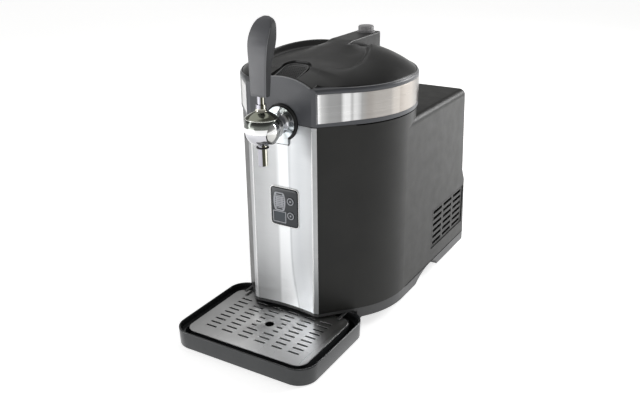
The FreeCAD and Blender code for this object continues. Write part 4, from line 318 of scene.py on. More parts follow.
# painted reflections on the ball, darker low down and pale at the top
SPOUT = painted_reflection_chrome("chrome_ball", [
    (0.280, (0.50, 0.50, 0.53)), (0.296, (0.56, 0.56, 0.59)), (0.3025, (0.66, 0.66, 0.69)),
    (0.322, REFLECTED_PALE)], 0.05, wander=0.02)
# painted reflections in bands on the bosses
BOSS = painted_reflection_chrome("chrome_boss", [
    (0.286, (0.72, 0.72, 0.72)), (0.294, (0.50, 0.50, 0.48)), (0.302, (0.55, 0.55, 0.53)),
    (0.3035, REFLECTED_PALE), (0.318, REFLECTED_PALE)], 0.05, wander=0.03)
# painted reflections round the flange
FLANGE = painted_reflection_chrome("chrome_flange", [
    (-3.15, (0.75, 0.78, 0.80)), (-2.7, (0.30, 0.33, 0.34)), (-2.2, (0.70, 0.73, 0.75)),
    (-1.6, (0.85, 0.88, 0.90)), (-1.1, (0.45, 0.48, 0.49)), (-0.8, (0.72, 0.78, 0.82)),
    (-0.45, (0.12, 0.13, 0.14)), (-0.25, (0.75, 0.78, 0.80)), (0.05, (0.24, 0.25, 0.25)),
    (0.3, REFLECTED_PALE), (0.8, (0.60, 0.62, 0.58)), (1.25, (0.40, 0.42, 0.41)),
    (1.7, (0.66, 0.70, 0.72)), (2.3, (0.45, 0.50, 0.52)), (2.7, REFLECTED_PALE),
    (3.15, (0.75, 0.78, 0.80))], 0.07, "LEVEL", (0, TAP_Z / 1000), 0.012)

FINISHES = {
    BASE: "base_pan",
    HOUSING: "housing side_vent_right side_vent_left rear_grille",
    LID: "lid_shell latch_button",
    KNOB: "relief_knob knob_collar",
    FASCIA: "lid_ring",
    HANDLE: "tap_handle",
    TRAY: "drip_tray",
    BLACK: "power_inlet chamber_collar fan_frame fan_rotor latch_bar latch_keepers hinge_brackets "
           "relief_valve valve_plunger",
    GLOSS: "control_panel button_upper button_lower",
    WINDOW: "display_window",
    STEEL: "front_panel",
    BAND: "trim_band_right trim_band_left",
    GRATE: "drip_grate",
    CHROME: "tap_body tap_ring lever_hood",
    ROD: "tap_nozzle lever_stem lever_sleeve",
    FLANGE: "tap_flange",
    ALUMINIUM: "keg_chamber cold_block heat_sink",
    FOAM: "insulation",
    RUBBER: "rubber_feet lid_seal nozzle_o_ring",
    ZINC: "tap_shank shank_nut hose_barb pivot_pin hinge_pin latch_pin supply_shelf power_supply",
    WHITE: "lid_liner peltier_module",
    GREEN: "control_board",
}

for finish, names in FINISHES.items():
    for name in names.split():
        mesh = nodes[name].data
        mesh.materials.clear()
        mesh.materials.append(finish)


# ---------------------------------------------------------------- ways of making shapes
CORE = 0.001            # radius of a turned piece at its axis, too fine to see
SIDES = (("right", 1), ("left", -1))


def metres(point):
    return (point[0] / 1000, (point[1] - AHEAD) / 1000, point[2] / 1000)


def smooth(mesh, sharp):
    mesh.shade_smooth()
    mesh.set_sharp_from_angle(angle=math.radians(sharp))


def solid(name, points, faces, sharp=32.0):
    """A mesh object from points in mm, smooth apart from edges sharper than the angle."""
    mesh = bpy.data.meshes.new(name)
    mesh.from_pydata([metres(p) for p in points], [], faces)
    clean = bmesh.new()
    clean.from_mesh(mesh)
    bmesh.ops.remove_doubles(clean, verts=clean.verts, dist=1e-7)
    bmesh.ops.recalc_face_normals(clean, faces=clean.faces)
    clean.to_mesh(mesh)
    clean.free()
    smooth(mesh, sharp)
    thing = bpy.data.objects.new(name, mesh)
    scene.collection.objects.link(thing)
    return thing


def dress(thing, finish, body, slot, *covers):
    """Gives a piece its finish, its body and the nodes it stands for; the slot is not used."""
    thing.data.materials.clear()
    thing.data.materials.append(finish)
    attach(thing, body)
    if covers:
        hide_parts(*covers)
    return thing


def combined(thing, tool, operation, sharp=32.0):
    """The piece after a boolean with a tool, which is used up."""
    change = thing.modifiers.new("change", "BOOLEAN")
    change.operation = operation
    change.solver = "EXACT"
    change.object = tool
    shaped = thing.evaluated_get(bpy.context.evaluated_depsgraph_get())
    done = bpy.data.meshes.new_from_object(shaped)
    thing.modifiers.clear()
    thing.data = done
    smooth(done, sharp)
    bpy.data.objects.remove(tool)
    return thing


def filleted(corners, steps=4, closed=True):
    """A path through (u, v, radius) corners, with each corner rounded by its radius."""
    path = []
    count = len(corners)
    for i, (u, v, radius) in enumerate(corners):
        here = Vector((u, v))
        if radius <= 0 or (not closed and i in (0, count - 1)):
            path.append((u, v))
            continue
        before = Vector(corners[i - 1][:2]) - here
        after = Vector(corners[(i + 1) % count][:2]) - here
        angle = before.angle(after)
        reach = radius / math.tan(angle / 2)
        inward = (before.normalized() + after.normalized()).normalized()
        middle = here + inward * radius / math.sin(angle / 2)
        start = here + before.normalized() * reach - middle
        stop = here + after.normalized() * reach - middle
        sweep = math.atan2(start.x * stop.y - start.y * stop.x, start.dot(stop))
        for k in range(steps + 1):
            turn = sweep * k / steps
            c, s = math.cos(turn), math.sin(turn)
            path.append((middle.x + start.x * c - start.y * s,
                         middle.y + start.x * s + start.y * c))
    return path


def rounded_plan(x0, y0, x1, y1, radius, steps=10):
    return filleted([(x0, y0, radius), (x1, y0, radius), (x1, y1, radius), (x0, y1, radius)], steps)


def lofted(name, rings, wrap=False, sharp=32.0):
    """Rings of equally many points, each joined to the next.

    wrap joins the last ring to the first; otherwise both ends are capped."""
    size = len(rings[0])
    points = [p for ring in rings for p in ring]
    faces = []
    for i in range(len(rings) if wrap else len(rings) - 1):
        a, b = i * size, (i + 1) % len(rings) * size
        for j in range(size):
            k = (j + 1) % size
            faces.append((a + j, a + k, b + k, b + j))
    if not wrap:
        faces.append(tuple(range(size))[::-1])
        faces.append(tuple(range(len(points) - size, len(points))))
    return solid(name, points, faces, sharp)


def prism(name, plan, low, high):
    """An upright block over a plan of (x, y) points."""
    return lofted(name, [[(x, y, z) for x, y in plan] for z in (low, high)])


def turned(name, profile, centre, axis="z", steps=64, sharp=32.0):
    """A closed (radius, along) profile turned about an axis through centre."""
    rings = []
    for k in range(steps):
        angle = 2 * math.pi * k / steps
        c, s = math.cos(angle), math.sin(angle)
        ring = []
        for radius, along in profile:
            a, b = radius * c, radius * s
            offset = {"x": (along, a, b), "y": (a, along, b), "z": (a, b, along)}[axis]
            ring.append(tuple(m + o for m, o in zip(centre, offset)))
        rings.append(ring)
    return lofted(name, rings, True, sharp)


def drill(radius, start, stop, centre, axis, steps):
    """A plain round tool for a boolean, from start to stop along an axis through centre."""
    profile = [(CORE, start), (radius, start), (radius, stop), (CORE, stop)]
    return turned("drill", profile, centre, axis, steps)


def bead(name, path, radius, finish, body, slot):
    """A dressed round bead along a path of points, closed and thinner at both ends."""
    rings = []
    last = len(path) - 1
    for i, here in enumerate(path):
        ahead = (Vector(path[min(i + 1, last)]) - Vector(path[max(i - 1, 0)])).normalized()
        aside = Vector((0, 0, 1)) if abs(ahead.z) < 0.9 else Vector((1, 0, 0))
        across = ahead.cross(aside).normalized()
        up = across.cross(ahead)
        size = radius * (0.3 if i in (0, last) else 1)
        rings.append([tuple(Vector(here) + (across * math.cos(t) + up * math.sin(t)) * size)
                      for t in (math.pi * k / 5 for k in range(10))])
    dress(lofted(name, rings, sharp=60), finish, body, slot)


def line(knots, values):
    """A smooth curve through values at rising knots, level outside them."""
    knots, values = np.array(knots, float), np.array(values, float)
    slopes = np.gradient(values, knots)

    def at(place):
        place = min(max(place, knots[0]), knots[-1])
        i = min(max(int(np.searchsorted(knots, place)) - 1, 0), len(knots) - 2)
        gap = knots[i + 1] - knots[i]
        t = (place - knots[i]) / gap
        return float(values[i] * (1 + 2 * t) * (1 - t) ** 2 + slopes[i] * gap * t * (1 - t) ** 2
                     + values[i + 1] * t * t * (3 - 2 * t) + slopes[i + 1] * gap * t * t * (t - 1))
    return at


def ease(t):
    """A soft step from 0 at t = 0 to 1 at t = 1."""
    t = min(max(t, 0.0), 1.0)
    return t * t * (3 - 2 * t)


def higher(a, b, blur):
    """The higher of two levels with a soft change between them."""
    near = max(blur - abs(a - b), 0) / blur
    return max(a, b) + near * near * blur / 4


# ---------------------------------------------------------------- lid
RIM = 122.2             # radius of the dome's foot
RIM_LEVEL = 350.9       # height of the dome's foot
DOME_LOW = 347.2        # underside of the dome's edge
HOLLOW_TOP = 374.0      # highest point of the dome's inside, which is part of a ball
HOLLOW_BALL = 242.88    # radius of that ball
WING_RISE = 34.5        # rise of the two side wings' surface at the drum's axis
FACE_HALF = 46.9        # half width of the hood's front
FACE_MIDDLE = 119.6     # how far ahead of the axis that front is in its middle
FACE_CORNER = 124.1     # and at its corners
FACE_SAG = 4.5          # the difference
TOWER_HALF = 18.0       # half width of the tower behind the hood
TOWER_BEND = 121        # where the tower's rear corners begin, with a radius of TOWER_TURN
TOWER_TURN = 3
TOWER_EDGE = 1.6        # radius of its upper edges
TROUGH_FRONT = -84      # y from which the troughs beside the hood run out to the front
KNOB_Y = 110            # middle of the relief knob

CLIFF_PLACES = [-124, -100, -76, -64, -50, -28, -12, 17, 46, 75, 93]
crown = line([-124, -100, -76, -53, -30, -10, 10, 28, 60],
             [361.9, 366.2, 370.3, 374.6, 378.4, 381, 382.5, 383.9, 384])
bend = line([-124, -100, -76, -50, -20, 10, 28, 46, 60, 80],
            [99, 120, 140, 110, 80, 70, 45, 22, 12, 10])
cliff_in = line(CLIFF_PLACES, [47, 38, 38, 54, 62, 61, 57, 46, 32, 19, 12])
cliff_out = line(CLIFF_PLACES, [75, 75, 74, 73, 74, 73, 69, 58, 44, 30, 22])
depth = line([TROUGH_FRONT, -64, -44, -12, 17, 46, 75, 100], [3, 5, 7.5, 9.5, 10, 9, 6.5, 4])


def wing(x, y):
    return RIM_LEVEL + WING_RISE * (1 - (min(math.hypot(x, y), RIM) / RIM) ** 2.6)


def dome(x, y):
    """Height of the lid's outside without the tower: hood in the middle, trough, then the wing."""
    x = abs(x)
    side = wing(x, y)
    trough = side - depth(y) if y > TROUGH_FRONT else side - 3 - (TROUGH_FRONT - y) * 0.4
    hood = higher(crown(y) - x * x / (2 * bend(y)), trough, 4.0)
    share = ease((x - cliff_in(y)) / (cliff_out(y) - cliff_in(y)))
    return hood + (side - hood) * share


def edge_of_dome(angle):
    """Distance from the axis to the dome's outline, at an angle from straight ahead."""
    angle = abs(angle)
    if angle > math.asin(FACE_HALF / RIM):
        return RIM
    if angle > math.atan2(FACE_HALF, FACE_CORNER):
        return FACE_HALF / math.sin(angle)
    sag = FACE_SAG * math.sin(angle) ** 2 / FACE_HALF ** 2
    c = math.cos(angle)
    if sag < 1e-9:
        return FACE_MIDDLE / c
    return (c - math.sqrt(c ** 2 - 4 * sag * FACE_MIDDLE)) / (2 * sag)


def make_dome():
    corners = [math.atan2(FACE_HALF, FACE_CORNER), math.asin(FACE_HALF / RIM)]
    angles = sorted(set([round(math.radians(k * 1.25), 6) for k in range(-143, 145)]
                        + [way * corner for corner in corners for way in (1, -1)]))
    shares = [(k / 88) ** 0.9 for k in range(1, 89)]
    points = [(0, 0, dome(0, 0))]
    faces = []
    rings = []

    def ring(radius_of, level_of):
        row = []
        for angle in angles:
            radius = radius_of(edge_of_dome(angle))
            x, y = radius * math.sin(angle), -radius * math.cos(angle)
            row.append(len(points))
            points.append((x, y, level_of(x, y)))
        rings.append(row)

    def inside(x, y):
        return HOLLOW_TOP - HOLLOW_BALL + math.sqrt(HOLLOW_BALL ** 2 - x * x - y * y)

    for share in shares:
        ring(lambda edge, f=share: (edge - 1.0) * f, dome)
    for k in range(1, 5):
        turn = math.radians(22.5 * k)
        ring(lambda edge, t=turn: edge - 1 + math.sin(t),
             lambda x, y, t=turn: dome(x, y) - 1 + math.cos(t))
    ring(lambda edge: edge, lambda x, y: DOME_LOW)
    ring(lambda edge: min(edge - 4, 113.0), lambda x, y: DOME_LOW)
    for radius in (112.0, 96.0, 78.0, 58.0, 38.0, 18.0):
        ring(lambda edge, r=radius: r, inside)
    bottom = len(points)
    points.append((0, 0, HOLLOW_TOP))
    for j in range(len(angles)):
        k = (j + 1) % len(angles)
        faces.append((0, rings[0][j], rings[0][k]))
        faces.append((bottom, rings[-1][k], rings[-1][j]))
        for first, second in zip(rings, rings[1:]):
            faces.append((first[j], second[j], second[k], first[k]))
    return solid("lid_dome", points, faces, 40)


def make_tower():
    """The ridge that carries the relief knob, from the hood to behind the ring."""
    rings = []
    places = [12 + 2 * k for k in range(19)]
    places += [56, 70, 90, 110, 119, 119.2, 121, 122.2, 123.1, 123.7, 124]
    for y in places:
        half = TOWER_HALF
        if y > TOWER_BEND:
            half += math.sqrt(max(TOWER_TURN ** 2 - (y - TOWER_BEND) ** 2, 0)) - TOWER_TURN
        flat = ease((y - 14) / 22)              # how far its top has turned from hood to flat
        low = 349.0 if y < 119.1 else 351.8     # its rear end stands on the ring
        top = []
        for k in range(-12, 13):
            x = half * math.sin(math.radians(7.5 * k))
            over = max(abs(x) - (half - TOWER_EDGE), 0) / TOWER_EDGE
            rounded_edge = TOWER_EDGE * (1 - math.sqrt(max(1 - over * over, 0)))
            drop = (1 - flat) * x * x / (2 * bend(y)) + flat * rounded_edge
            top.append((x, y, crown(y) + 0.02 - 0.5 * (1 - ease((y - 12) / 8)) - drop))
        rings.append([(-half, y, low)] + top + [(half, y, low)])
    return lofted("lid_tower", rings, sharp=30)


def tongue_plan(grow, front=-117.2, rear=-76.0, half=18.5, turn=12.0):
    """Outline of the push button drawn out by grow, square in front and round behind."""
    return filleted([(-half - grow, front - grow, 0), (half + grow, front - grow, 0),
                     (half + grow, rear + grow, turn + grow),
                     (-half - grow, rear + grow, turn + grow)], 8)


def tongue_level(y):
    """Height of the push button's top, which rises 12 mm over its 41.2 mm."""
    return 357 + 12 / 41.2 * (117.2 + y)


def make_lid():
    thing = combined(make_dome(), make_tower(), "UNION", 34)
    plan = tongue_plan(3.4, front=-116.4)
    recess = lofted("recess", [[(x, y, tongue_level(y) - 0.5) for x, y in plan],
                               [(x, y, 400) for x, y in plan]])
    opening = prism("opening", tongue_plan(0.8), 340, 400)
    room = prism("room", rounded_plan(-15.2, 36, 15.2, 119, 2.5), 340, 380.8)
    bore = drill(3.2, 378, 390, (0, KNOB_Y, 0), "z", 32)
    for tool in (recess, opening, room, bore):
        thing = combined(thing, tool, "DIFFERENCE", 34)
    dress(thing, LID, "lid", "lid_grey", "lid_shell")


def make_button_marks():
    """Raised rim, painted lighter as a highlight, and grip dots of the push button."""
    rings = []
    rim = filleted([(0.15, -0.4, 0), (0.15, 0.75, 0.45), (1.75, 0.75, 0.5), (1.95, -0.4, 0)], 4)
    for inset, rise in rim:
        rings.append([(x, y, tongue_level(y) + rise) for x, y in tongue_plan(-inset)])
    dress(lofted("button_rim", rings, wrap=True), LID_RIM_PAINTED_HIGHLIGHT, "push_button", "lid_grey")
    points, faces = [], []
    round_steps = 10
    for row in range(9):
        for column in range(9):
            x = (column - 4) * 3.4
            y = -112.5 + row * 3.7
            if abs(x) > 12.5 and y > -86:
                continue
            low = tongue_level(y)
            first = len(points)
            for radius, rise in ((0.95, -0.2), (0.85, 0.18), (0.5, 0.36)):
                for k in range(round_steps):
                    turn = 2 * math.pi * k / round_steps
                    points.append((x + radius * math.cos(turn), y + radius * math.sin(turn),
                                   low + rise))
            for level in (0, round_steps):
                for k in range(round_steps):
                    a, b = first + level + k, first + level + (k + 1) % round_steps
                    faces.append((a, b, b + round_steps, a + round_steps))
            faces.append(tuple(first + k for k in range(round_steps))[::-1])
            faces.append(tuple(first + 2 * round_steps + k for k in range(round_steps)))
    dress(solid("button_dots", points, faces), LID, "push_button", "lid_grey")


# ---------------------------------------------------------------- tap
def make_handle():
    """Tap handle: a flat face in front that rolls back at the top, crisp edges and a full back."""
    knots = [346.5, 361, 388, 401, 415, 424, 430, 435, 439, 441.5]
    front = line(knots, [-174.8, -174.8, -174.6, -174.2, -171.8, -167.2, -163.2, -159.2, -155.6,
                         -152.6])
    back = line(knots, [-162.0, -160.4, -155.8, -151.0, -147.0, -146.0, -146.0, -146.6, -148.0,
                        -149.8])
    wide = line(knots, [11.6, 12.2, 13.4, 14.4, 15.1, 14.9, 14.0, 12.2, 8.6, 3.6])
    low, cap, top = 347.6, 432, 441.5
    rings = []

    def ring(z, inset=0.0):
        half = wide(z) - inset
        fore, rear = front(z) + inset, back(z) - inset
        deep = rear - fore
        lip, heel = min(2.0, deep * 0.3), min(deep * 0.42, half * 0.6)
        plan = filleted([(-half, fore, lip), (half, fore, lip),
                         (half, rear, heel), (-half, rear, heel)], 6)
        rings.append([(x, y - (0.5 * (1 - (x / half) ** 2) if y < fore + 0.3 else 0), z)
                      for x, y in plan])

    for inset, z in ((1.2, 346.5), (0.35, 346.8), (0.0, low)):
        ring(z, inset)
    for k in range(1, 37):
        ring(low + (cap - low) * k / 36)
    for k in range(1, 15):
        ring(cap + (top - cap) * math.sin(math.radians(90 * k / 14)))
    grip = lofted("handle_grip", rings, sharp=50)
    dress(grip, HANDLE, "lever", "black_plastic", "tap_handle")
    # the sides get a darker copy of the plastic as painted shade, the edges beside the front a
    # lighter copy as a painted highlight
    grip.data.materials.append(HANDLE_SIDE_PAINTED_SHADE)
    grip.data.materials.append(HANDLE_LIP_PAINTED_HIGHLIGHT)
    for face in grip.data.polygons:
        if abs(face.normal.x) > 0.8:
            face.material_index = 1
        elif abs(face.normal.x) > 0.5 and face.normal.y < 0 and face.center.z < 0.43:
            face.material_index = 2


def make_barrel():
    """The tap's ball and necked shank, with a slot for the lever's finger."""
    wide, ahead, behind, above, below = 22.0, 21.6, 20.3, 18.8, 19.4    # the ball from its middle
    rings = []
    for k in range(1, 36):
        turn = math.radians(-90 + 180 * k / 36)
        z = TAP_Z + (below if turn < 0 else above) * math.sin(turn)
        row = []
        for j in range(72):
            c, s = math.cos(math.radians(5 * j)), math.sin(math.radians(5 * j))
            deep = behind if s > 0 else ahead
            row.append((wide * math.cos(turn) * c, TAP_Y + deep * math.cos(turn) * s, z))
        rings.append(row)
    thing = lofted("tap_barrel", rings, sharp=60)
    neck = turned("neck", [(CORE, -156), (11, -156), (11, -138), (11.6, -133.5), (13.4, -130.6),
                           (14.0, -129.2), (CORE, -129.2)], (0, 0, TAP_Z), "y")
    thing = combined(thing, neck, "UNION", 50)
    half, lean, reach = 5.2, math.radians(35), 27
    fore = TAP_Y - half * math.cos(lean) - reach * math.sin(lean)
    side = [(TAP_Y + half, TAP_Z - 1), (TAP_Y + half, TAP_Z + 26), (fore, TAP_Z + 26),
            (fore, TAP_Z - half * math.sin(lean) + reach * math.cos(lean)),
            (TAP_Y - half * math.cos(lean), TAP_Z - half * math.sin(lean))]
    slot = lofted("slot", [[(x, y, z) for y, z in side] for x in (-half, half)])
    dress(combined(thing, slot, "DIFFERENCE", 50), SPOUT, "cabinet", "chrome", "tap_body")


def make_bosses():
    """A round boss on each side of the ball, and the dark seam round its foot."""
    centre = (0, TAP_Y, TAP_Z)
    boss = [(CORE, 12), (14.1, 12), (14.1, 16.6), (13.7, 17.7), (12.4, 19.1), (9.5, 20.8),
            (6, 22.0), (3, 22.5), (CORE, 22.6)]
    seam = [(13.4, 14), (14.8, 14), (14.8, 17.2), (13.4, 17.2)]
    for label, way in SIDES:
        dress(turned(f"boss_{label}", [(r, way * x) for r, x in boss], centre, "x", 72, 50),
              BOSS, "cabinet", "chrome")
        dress(turned(f"seam_{label}", [(r, way * x) for r, x in seam], centre, "x", 72),
              RUBBER, "cabinet", "rubber")


def make_hood():
    """The lever's hood: a shell over the ball, open behind and cut out round the bosses."""
    inner = [(4.8, 323.2), (8, 322.4), (12, 320.4), (15.8, 318.0), (19.2, 314.6), (21.6, 310.5),
             (22.35, 306), (22.4, 302.4)]
    skirt = [(22.7, 302.0), (23.0, 302.5), (23.05, 304), (22.7, 309), (21.9, 314), (20.9, 317.6)]
    lip = [(20.4, 318.1), (20.45, 318.5), (20.95, 318.7), (21.1, 319.1), (20.9, 319.5),
           (20.2, 319.9)]
    roof = [(18.6, 321.4), (16, 323.1), (13, 324.9), (10.5, 326.2), (9.0, 327.0), (8.0, 327.7),
            (7.2, 328.9), (6.8, 330.2), (6.6, 331.4), (4.8, 331.4)]
    hood = turned("hood_shell", inner + skirt + lip + roof, (0, TAP_Y, 0), "z", 96, 40)
    tools = []
    for front, top in ((-157, 316), (-153, 319.6)):
        plan = [(-30, front), (30, front), (30, -120), (-30, -120)]
        tools.append(prism("behind", plan, 290, top))
    for way in (1, -1):
        tools.append(drill(15.2, way * 10, way * 30, (0, TAP_Y, TAP_Z), "x", 72))
    for tool in tools:
        hood = combined(hood, tool, "DIFFERENCE", 40)
    dress(hood, HOOD, "lever", "chrome", "lever_hood")


def make_gasket_and_screw():
    gasket = turned("flange_gasket", [(20, -125.6), (23.6, -125.6), (24.2, -125.0),
                                      (24.2, -123.6), (20, -123.6)], (0, 0, TAP_Z), "y")
    dress(gasket, RUBBER, "cabinet", "rubber")
    screw = turned("grub_screw", [(CORE, -149), (3.1, -149), (3.1, -152.0), (2.7, -152.3),
                                  (1.9, -152.3), (1.8, -151.0), (CORE, -151.0)],
                   (12.4, 0, 310.6), "y", 24)
    dress(screw, BLACK, "cabinet", "black_plastic")


# ---------------------------------------------------------------- edges, bands and seams
# FRONT_LOW is just above the lower edge of the steel front.
FRONT_LOW = min(v.co.z for v in nodes["front_panel"].data.vertices) * 1000 + 0.5
FASCIA_HALF = 47        # half width of the fascia and of the steel front's folds
ARCH_TOP = 362.2        # top of the fascia's arch
ARCH_TURN = 104.2       # and its radius
FASCIA_MIDDLE = 122.8   # how far ahead of the axis the arch is in its middle
PARTING = 301.0         # height of the seam under the lid's ring
SEAM_RADIUS = 124.3     # that seam, the ring's upper edge and its bands, from the axis
EDGE_RADIUS = 123.1
BAND_RADIUS = 125.6
EDGE_LEVEL = 350.45
BAND_LOW, BAND_HIGH = 308.0, 344.0
BAND_START = (53.8, -125.6)     # outer corner of the fascia, where the bands begin
HOUSING_SIDE = 124      # x of the housing's flat side
FOOT_SEAM = 31          # height of the seam above its foot
VENT = (104, 53, 234, 119)      # y and z of the vents' lower front and upper rear corners


def make_edges():
    """Rolled edges, painted light as a highlight: along the fascia's arch and round the top of the
    ring.
    """
    arch = []
    for k in range(-46, 47, 2):
        level = ARCH_TOP - (ARCH_TURN - math.sqrt(ARCH_TURN ** 2 - k * k))
        ahead = FASCIA_MIDDLE + FACE_SAG * (k / FASCIA_HALF) ** 2
        arch.append((k, -ahead + 0.3, level - 0.3))
    bead("fascia_edge", arch, 0.65, EDGE_PAINTED_HIGHLIGHT, "lid", "lid_grey")
    ring = []
    for k in range(-65, 246):
        turn = math.radians(k)
        ring.append((EDGE_RADIUS * math.cos(turn), EDGE_RADIUS * math.sin(turn), EDGE_LEVEL))
    bead("ring_edge", ring, 0.62, EDGE_PAINTED_HIGHLIGHT, "lid", "lid_grey")


def make_bands():
    """Stainless bands of the ring: flat beside the fascia, then round the ring to the back."""
    path = [(BAND_START[0] + 0.69 * s, BAND_START[1] + 0.723 * s, s)
            for s in (1.5, 1.8, 6, 12, 20, 30, 40, 48)]
    for k in range(57):
        turn = math.radians(-43.6 + 113.2 * k / 56)
        path.append((BAND_RADIUS * math.cos(turn), BAND_RADIUS * math.sin(turn), 53.8 + 2 * k))
    for label, way in SIDES:
        rings = []
        for i, (x, y, along) in enumerate(path):
            near, far = path[max(i - 1, 0)], path[min(i + 1, len(path) - 1)]
            out = Vector((far[1] - near[1], near[0] - far[0], 0)).normalized()
            taper = 1 - ease((along - 14) / 50)
            proud = 0.3 * taper - (0.25 if i in (0, len(path) - 1) else 0)
            low, high = BAND_LOW - 1.1 * taper, BAND_HIGH + 0.9 * taper
            section = [(-0.9, low), (proud - 0.25, low), (proud, low + 0.3),
                       (proud, high - 0.3), (proud - 0.25, high), (-0.9, high)]
            rings.append([(way * (x + out.x * d), y + out.y * d, z) for d, z in section])
        band = lofted(f"band_{label}", rings, sharp=30)
        dress(band, BAND, "lid", "stainless", f"trim_band_{label}")
    # the fascia's corners carry the same painted highlight
    for label, way in SIDES:
        corner = [(way * 53.75, -125.65, z) for z in (306.0, 307, 320, 335, 346.0, 346.8)]
        bead(f"corner_edge_{label}", corner, 0.5, EDGE_PAINTED_HIGHLIGHT, "lid", "lid_grey")


def make_seams():
    """Seams painted dark as shade, and the steel front's folds painted bright as a highlight.

    The seams are real joints; their darkness is painted shade, under the lid's ring, round the side
    vents and above the housing's foot."""
    ring = []
    for k in range(-44, 225):
        turn = math.radians(k)
        ring.append((SEAM_RADIUS * math.cos(turn), SEAM_RADIUS * math.sin(turn), PARTING))
    bead("ring_seam", ring, 0.9, SHADE, "cabinet", "rubber")
    y0, z0, y1, z1 = VENT
    for label, way in SIDES:
        x = way * HOUSING_SIDE
        loop = [(x, y0, z0), (x, y1, z0), (x, y1, z1), (x, y0, z1), (x, y0, z0)]
        for i, ends in enumerate(zip(loop, loop[1:])):
            bead(f"vent_seam_{label}_{i}", ends, 0.45, SHADE, "cabinet", "rubber")
        foot = [(x, y, FOOT_SEAM) for y in range(6, 247, 10)]
        bead(f"foot_seam_{label}", foot, 0.45, SHADE, "cabinet", "rubber")
        # a bead on each fold of the steel front, painted white as a highlight
        fold = [(way * FASCIA_HALF, -127.0, z)
                for z in (FRONT_LOW, FRONT_LOW + 1, 60, 120, 180, 240, 296, 297)]
        bead(f"fold_edge_{label}", fold, 0.85, FOLD_PAINTED_HIGHLIGHT, "cabinet", "stainless")


# ---------------------------------------------------------------- control panel
KEY_X = 11.6            # middle of the two round keys, and their heights
KEYS = (("upper", 193.0), ("lower", 172.0))
THROUGH = (-130, -120)  # y from where to where a tool passes through the panel
PRINTED = (-125.9, -126.12)     # back and front of what is printed on it


def slab(name, box, turn, steps, wrap=False):
    """A plate in the front plane: box is x0, z0, x1, z1, and steps are (y, inset) pairs."""
    x0, z0, x1, z1 = box
    rings = []
    for y, inset in steps:
        plan = rounded_plan(x0 + inset, z0 + inset, x1 - inset, z1 - inset,
                            max(turn - inset, 0.2), 6)
        rings.append([(x, y, z) for x, z in plan])
    return lofted(name, rings, wrap, 30)


def frame_of(name, box, turn, width, back, front):
    """A flat frame of a width inside a box."""
    return slab(name, box, turn, [(back, 0), (front, 0), (front, width), (back, width)], True)


def punch(box, turn):
    """A tool for a boolean right through the panel."""
    return slab("punch", box, turn, [(y, 0) for y in THROUGH])


def make_face():
    """The panel's face with its window, gasket, trim and the frame round the window."""
    face = slab("panel_face", (-20.1, 155.8, 22.1, 209.4), 4.4,
                [(-123.8, 0), (-125.3, 0), (-125.75, 0.35), (-126, 1.1)])
    holes = [punch((-15.6, 160.6, 2.6, 174.8), 0.6)]
    holes += [drill(6.1, *THROUGH, (KEY_X, 0, level), "y", 48) for _, level in KEYS]
    for hole in holes:
        face = combined(face, hole, "DIFFERENCE", 30)
    dress(face, GLOSS, "cabinet", "gloss_black", "control_panel")
    pane = slab("display_pane", (-15.5, 160.7, 2.5, 174.7), 0.5,
                [(-124.2, 0), (-125.6, 0), (-125.8, 0.25)])
    dress(pane, WINDOW, "cabinet", "window", "display_window")
    gasket = frame_of("panel_gasket", (-21.0, 154.9, 23.0, 210.3), 5.2, 2.4, -122.9, -124.9)
    dress(gasket, RUBBER, "cabinet", "rubber")
    trim = frame_of("panel_trim", (-21.9, 154.0, 23.9, 211.2), 6.0, 1.0, -122.8, -124.7)
    dress(trim, CHROME, "cabinet", "stainless")
    border = frame_of("display_frame", (-17.0, 159.3, 4.0, 176.1), 1.2, 1.25, *PRINTED)
    dress(border, PRINT, "cabinet", "white_plastic")


def make_keys():
    """The two round keys, each with a printed ring and dot."""
    key = [(CORE, -123), (5.75, -123), (5.75, -126.3), (5.5, -126.6), (CORE, -126.7)]
    ring = [(5.3, -126.5), (5.3, -126.8), (4.1, -126.84), (4.1, -126.5)]
    dot = [(CORE, -126.6), (1.3, -126.6), (1.3, -126.8), (0.9, -126.9), (CORE, -126.9)]
    for side, level in KEYS:
        for name, profile, finish, slot, covers in (
                ("key", key, GLOSS, "black_plastic", [f"button_{side}"]),
                ("ring", ring, PRINT, "white_plastic", []),
                ("dot", dot, PRINT, "white_plastic", [])):
            thing = turned(f"{side}_{name}", profile, (KEY_X, 0, level), "y", 48)
            dress(thing, finish, f"{side}_button", slot, *covers)


def make_keg_mark():
    """A generic printed keg: a bulging outline with hoops, and slots for its staves."""
    centre, middle = -6.3, 190.0
    outline = []
    for k in range(-12, 13):
        t = k / 12
        outline.append((9.7 - 2.6 * t * t - 1.2 * max(abs(t) - 0.9, 0) / 0.1, 13.3 * t))
    plan = [(centre + u, middle + v) for u, v in outline]
    plan += [(centre - u, middle + v) for u, v in outline[::-1]]
    keg = lofted("keg_mark", [[(x, y, z) for x, z in plan] for y in PRINTED])
    cuts = [(-5.0, 9.4, 5.0, 11.6), (-5.0, -11.4, 5.0, -9.3), (-7.6, 7.6, 7.6, 8.3),
            (-7.6, -8.2, 7.6, -7.5)]
    for row in (-5.3, -2.7, -0.1, 2.5, 5.1):
        cuts += [(way * 6.3 - 0.9, row - 0.65, way * 6.3 + 0.9, row + 0.65) for way in (-1, 1)]
        cuts.append((-3.6, row - 0.25, 3.6, row + 0.25))
    for u0, v0, u1, v1 in cuts:
        hole = punch((centre + u0, middle + v0, centre + u1, middle + v1), 0.22)
        keg = combined(keg, hole, "DIFFERENCE", 30)
    dress(keg, PRINT, "cabinet", "white_plastic")


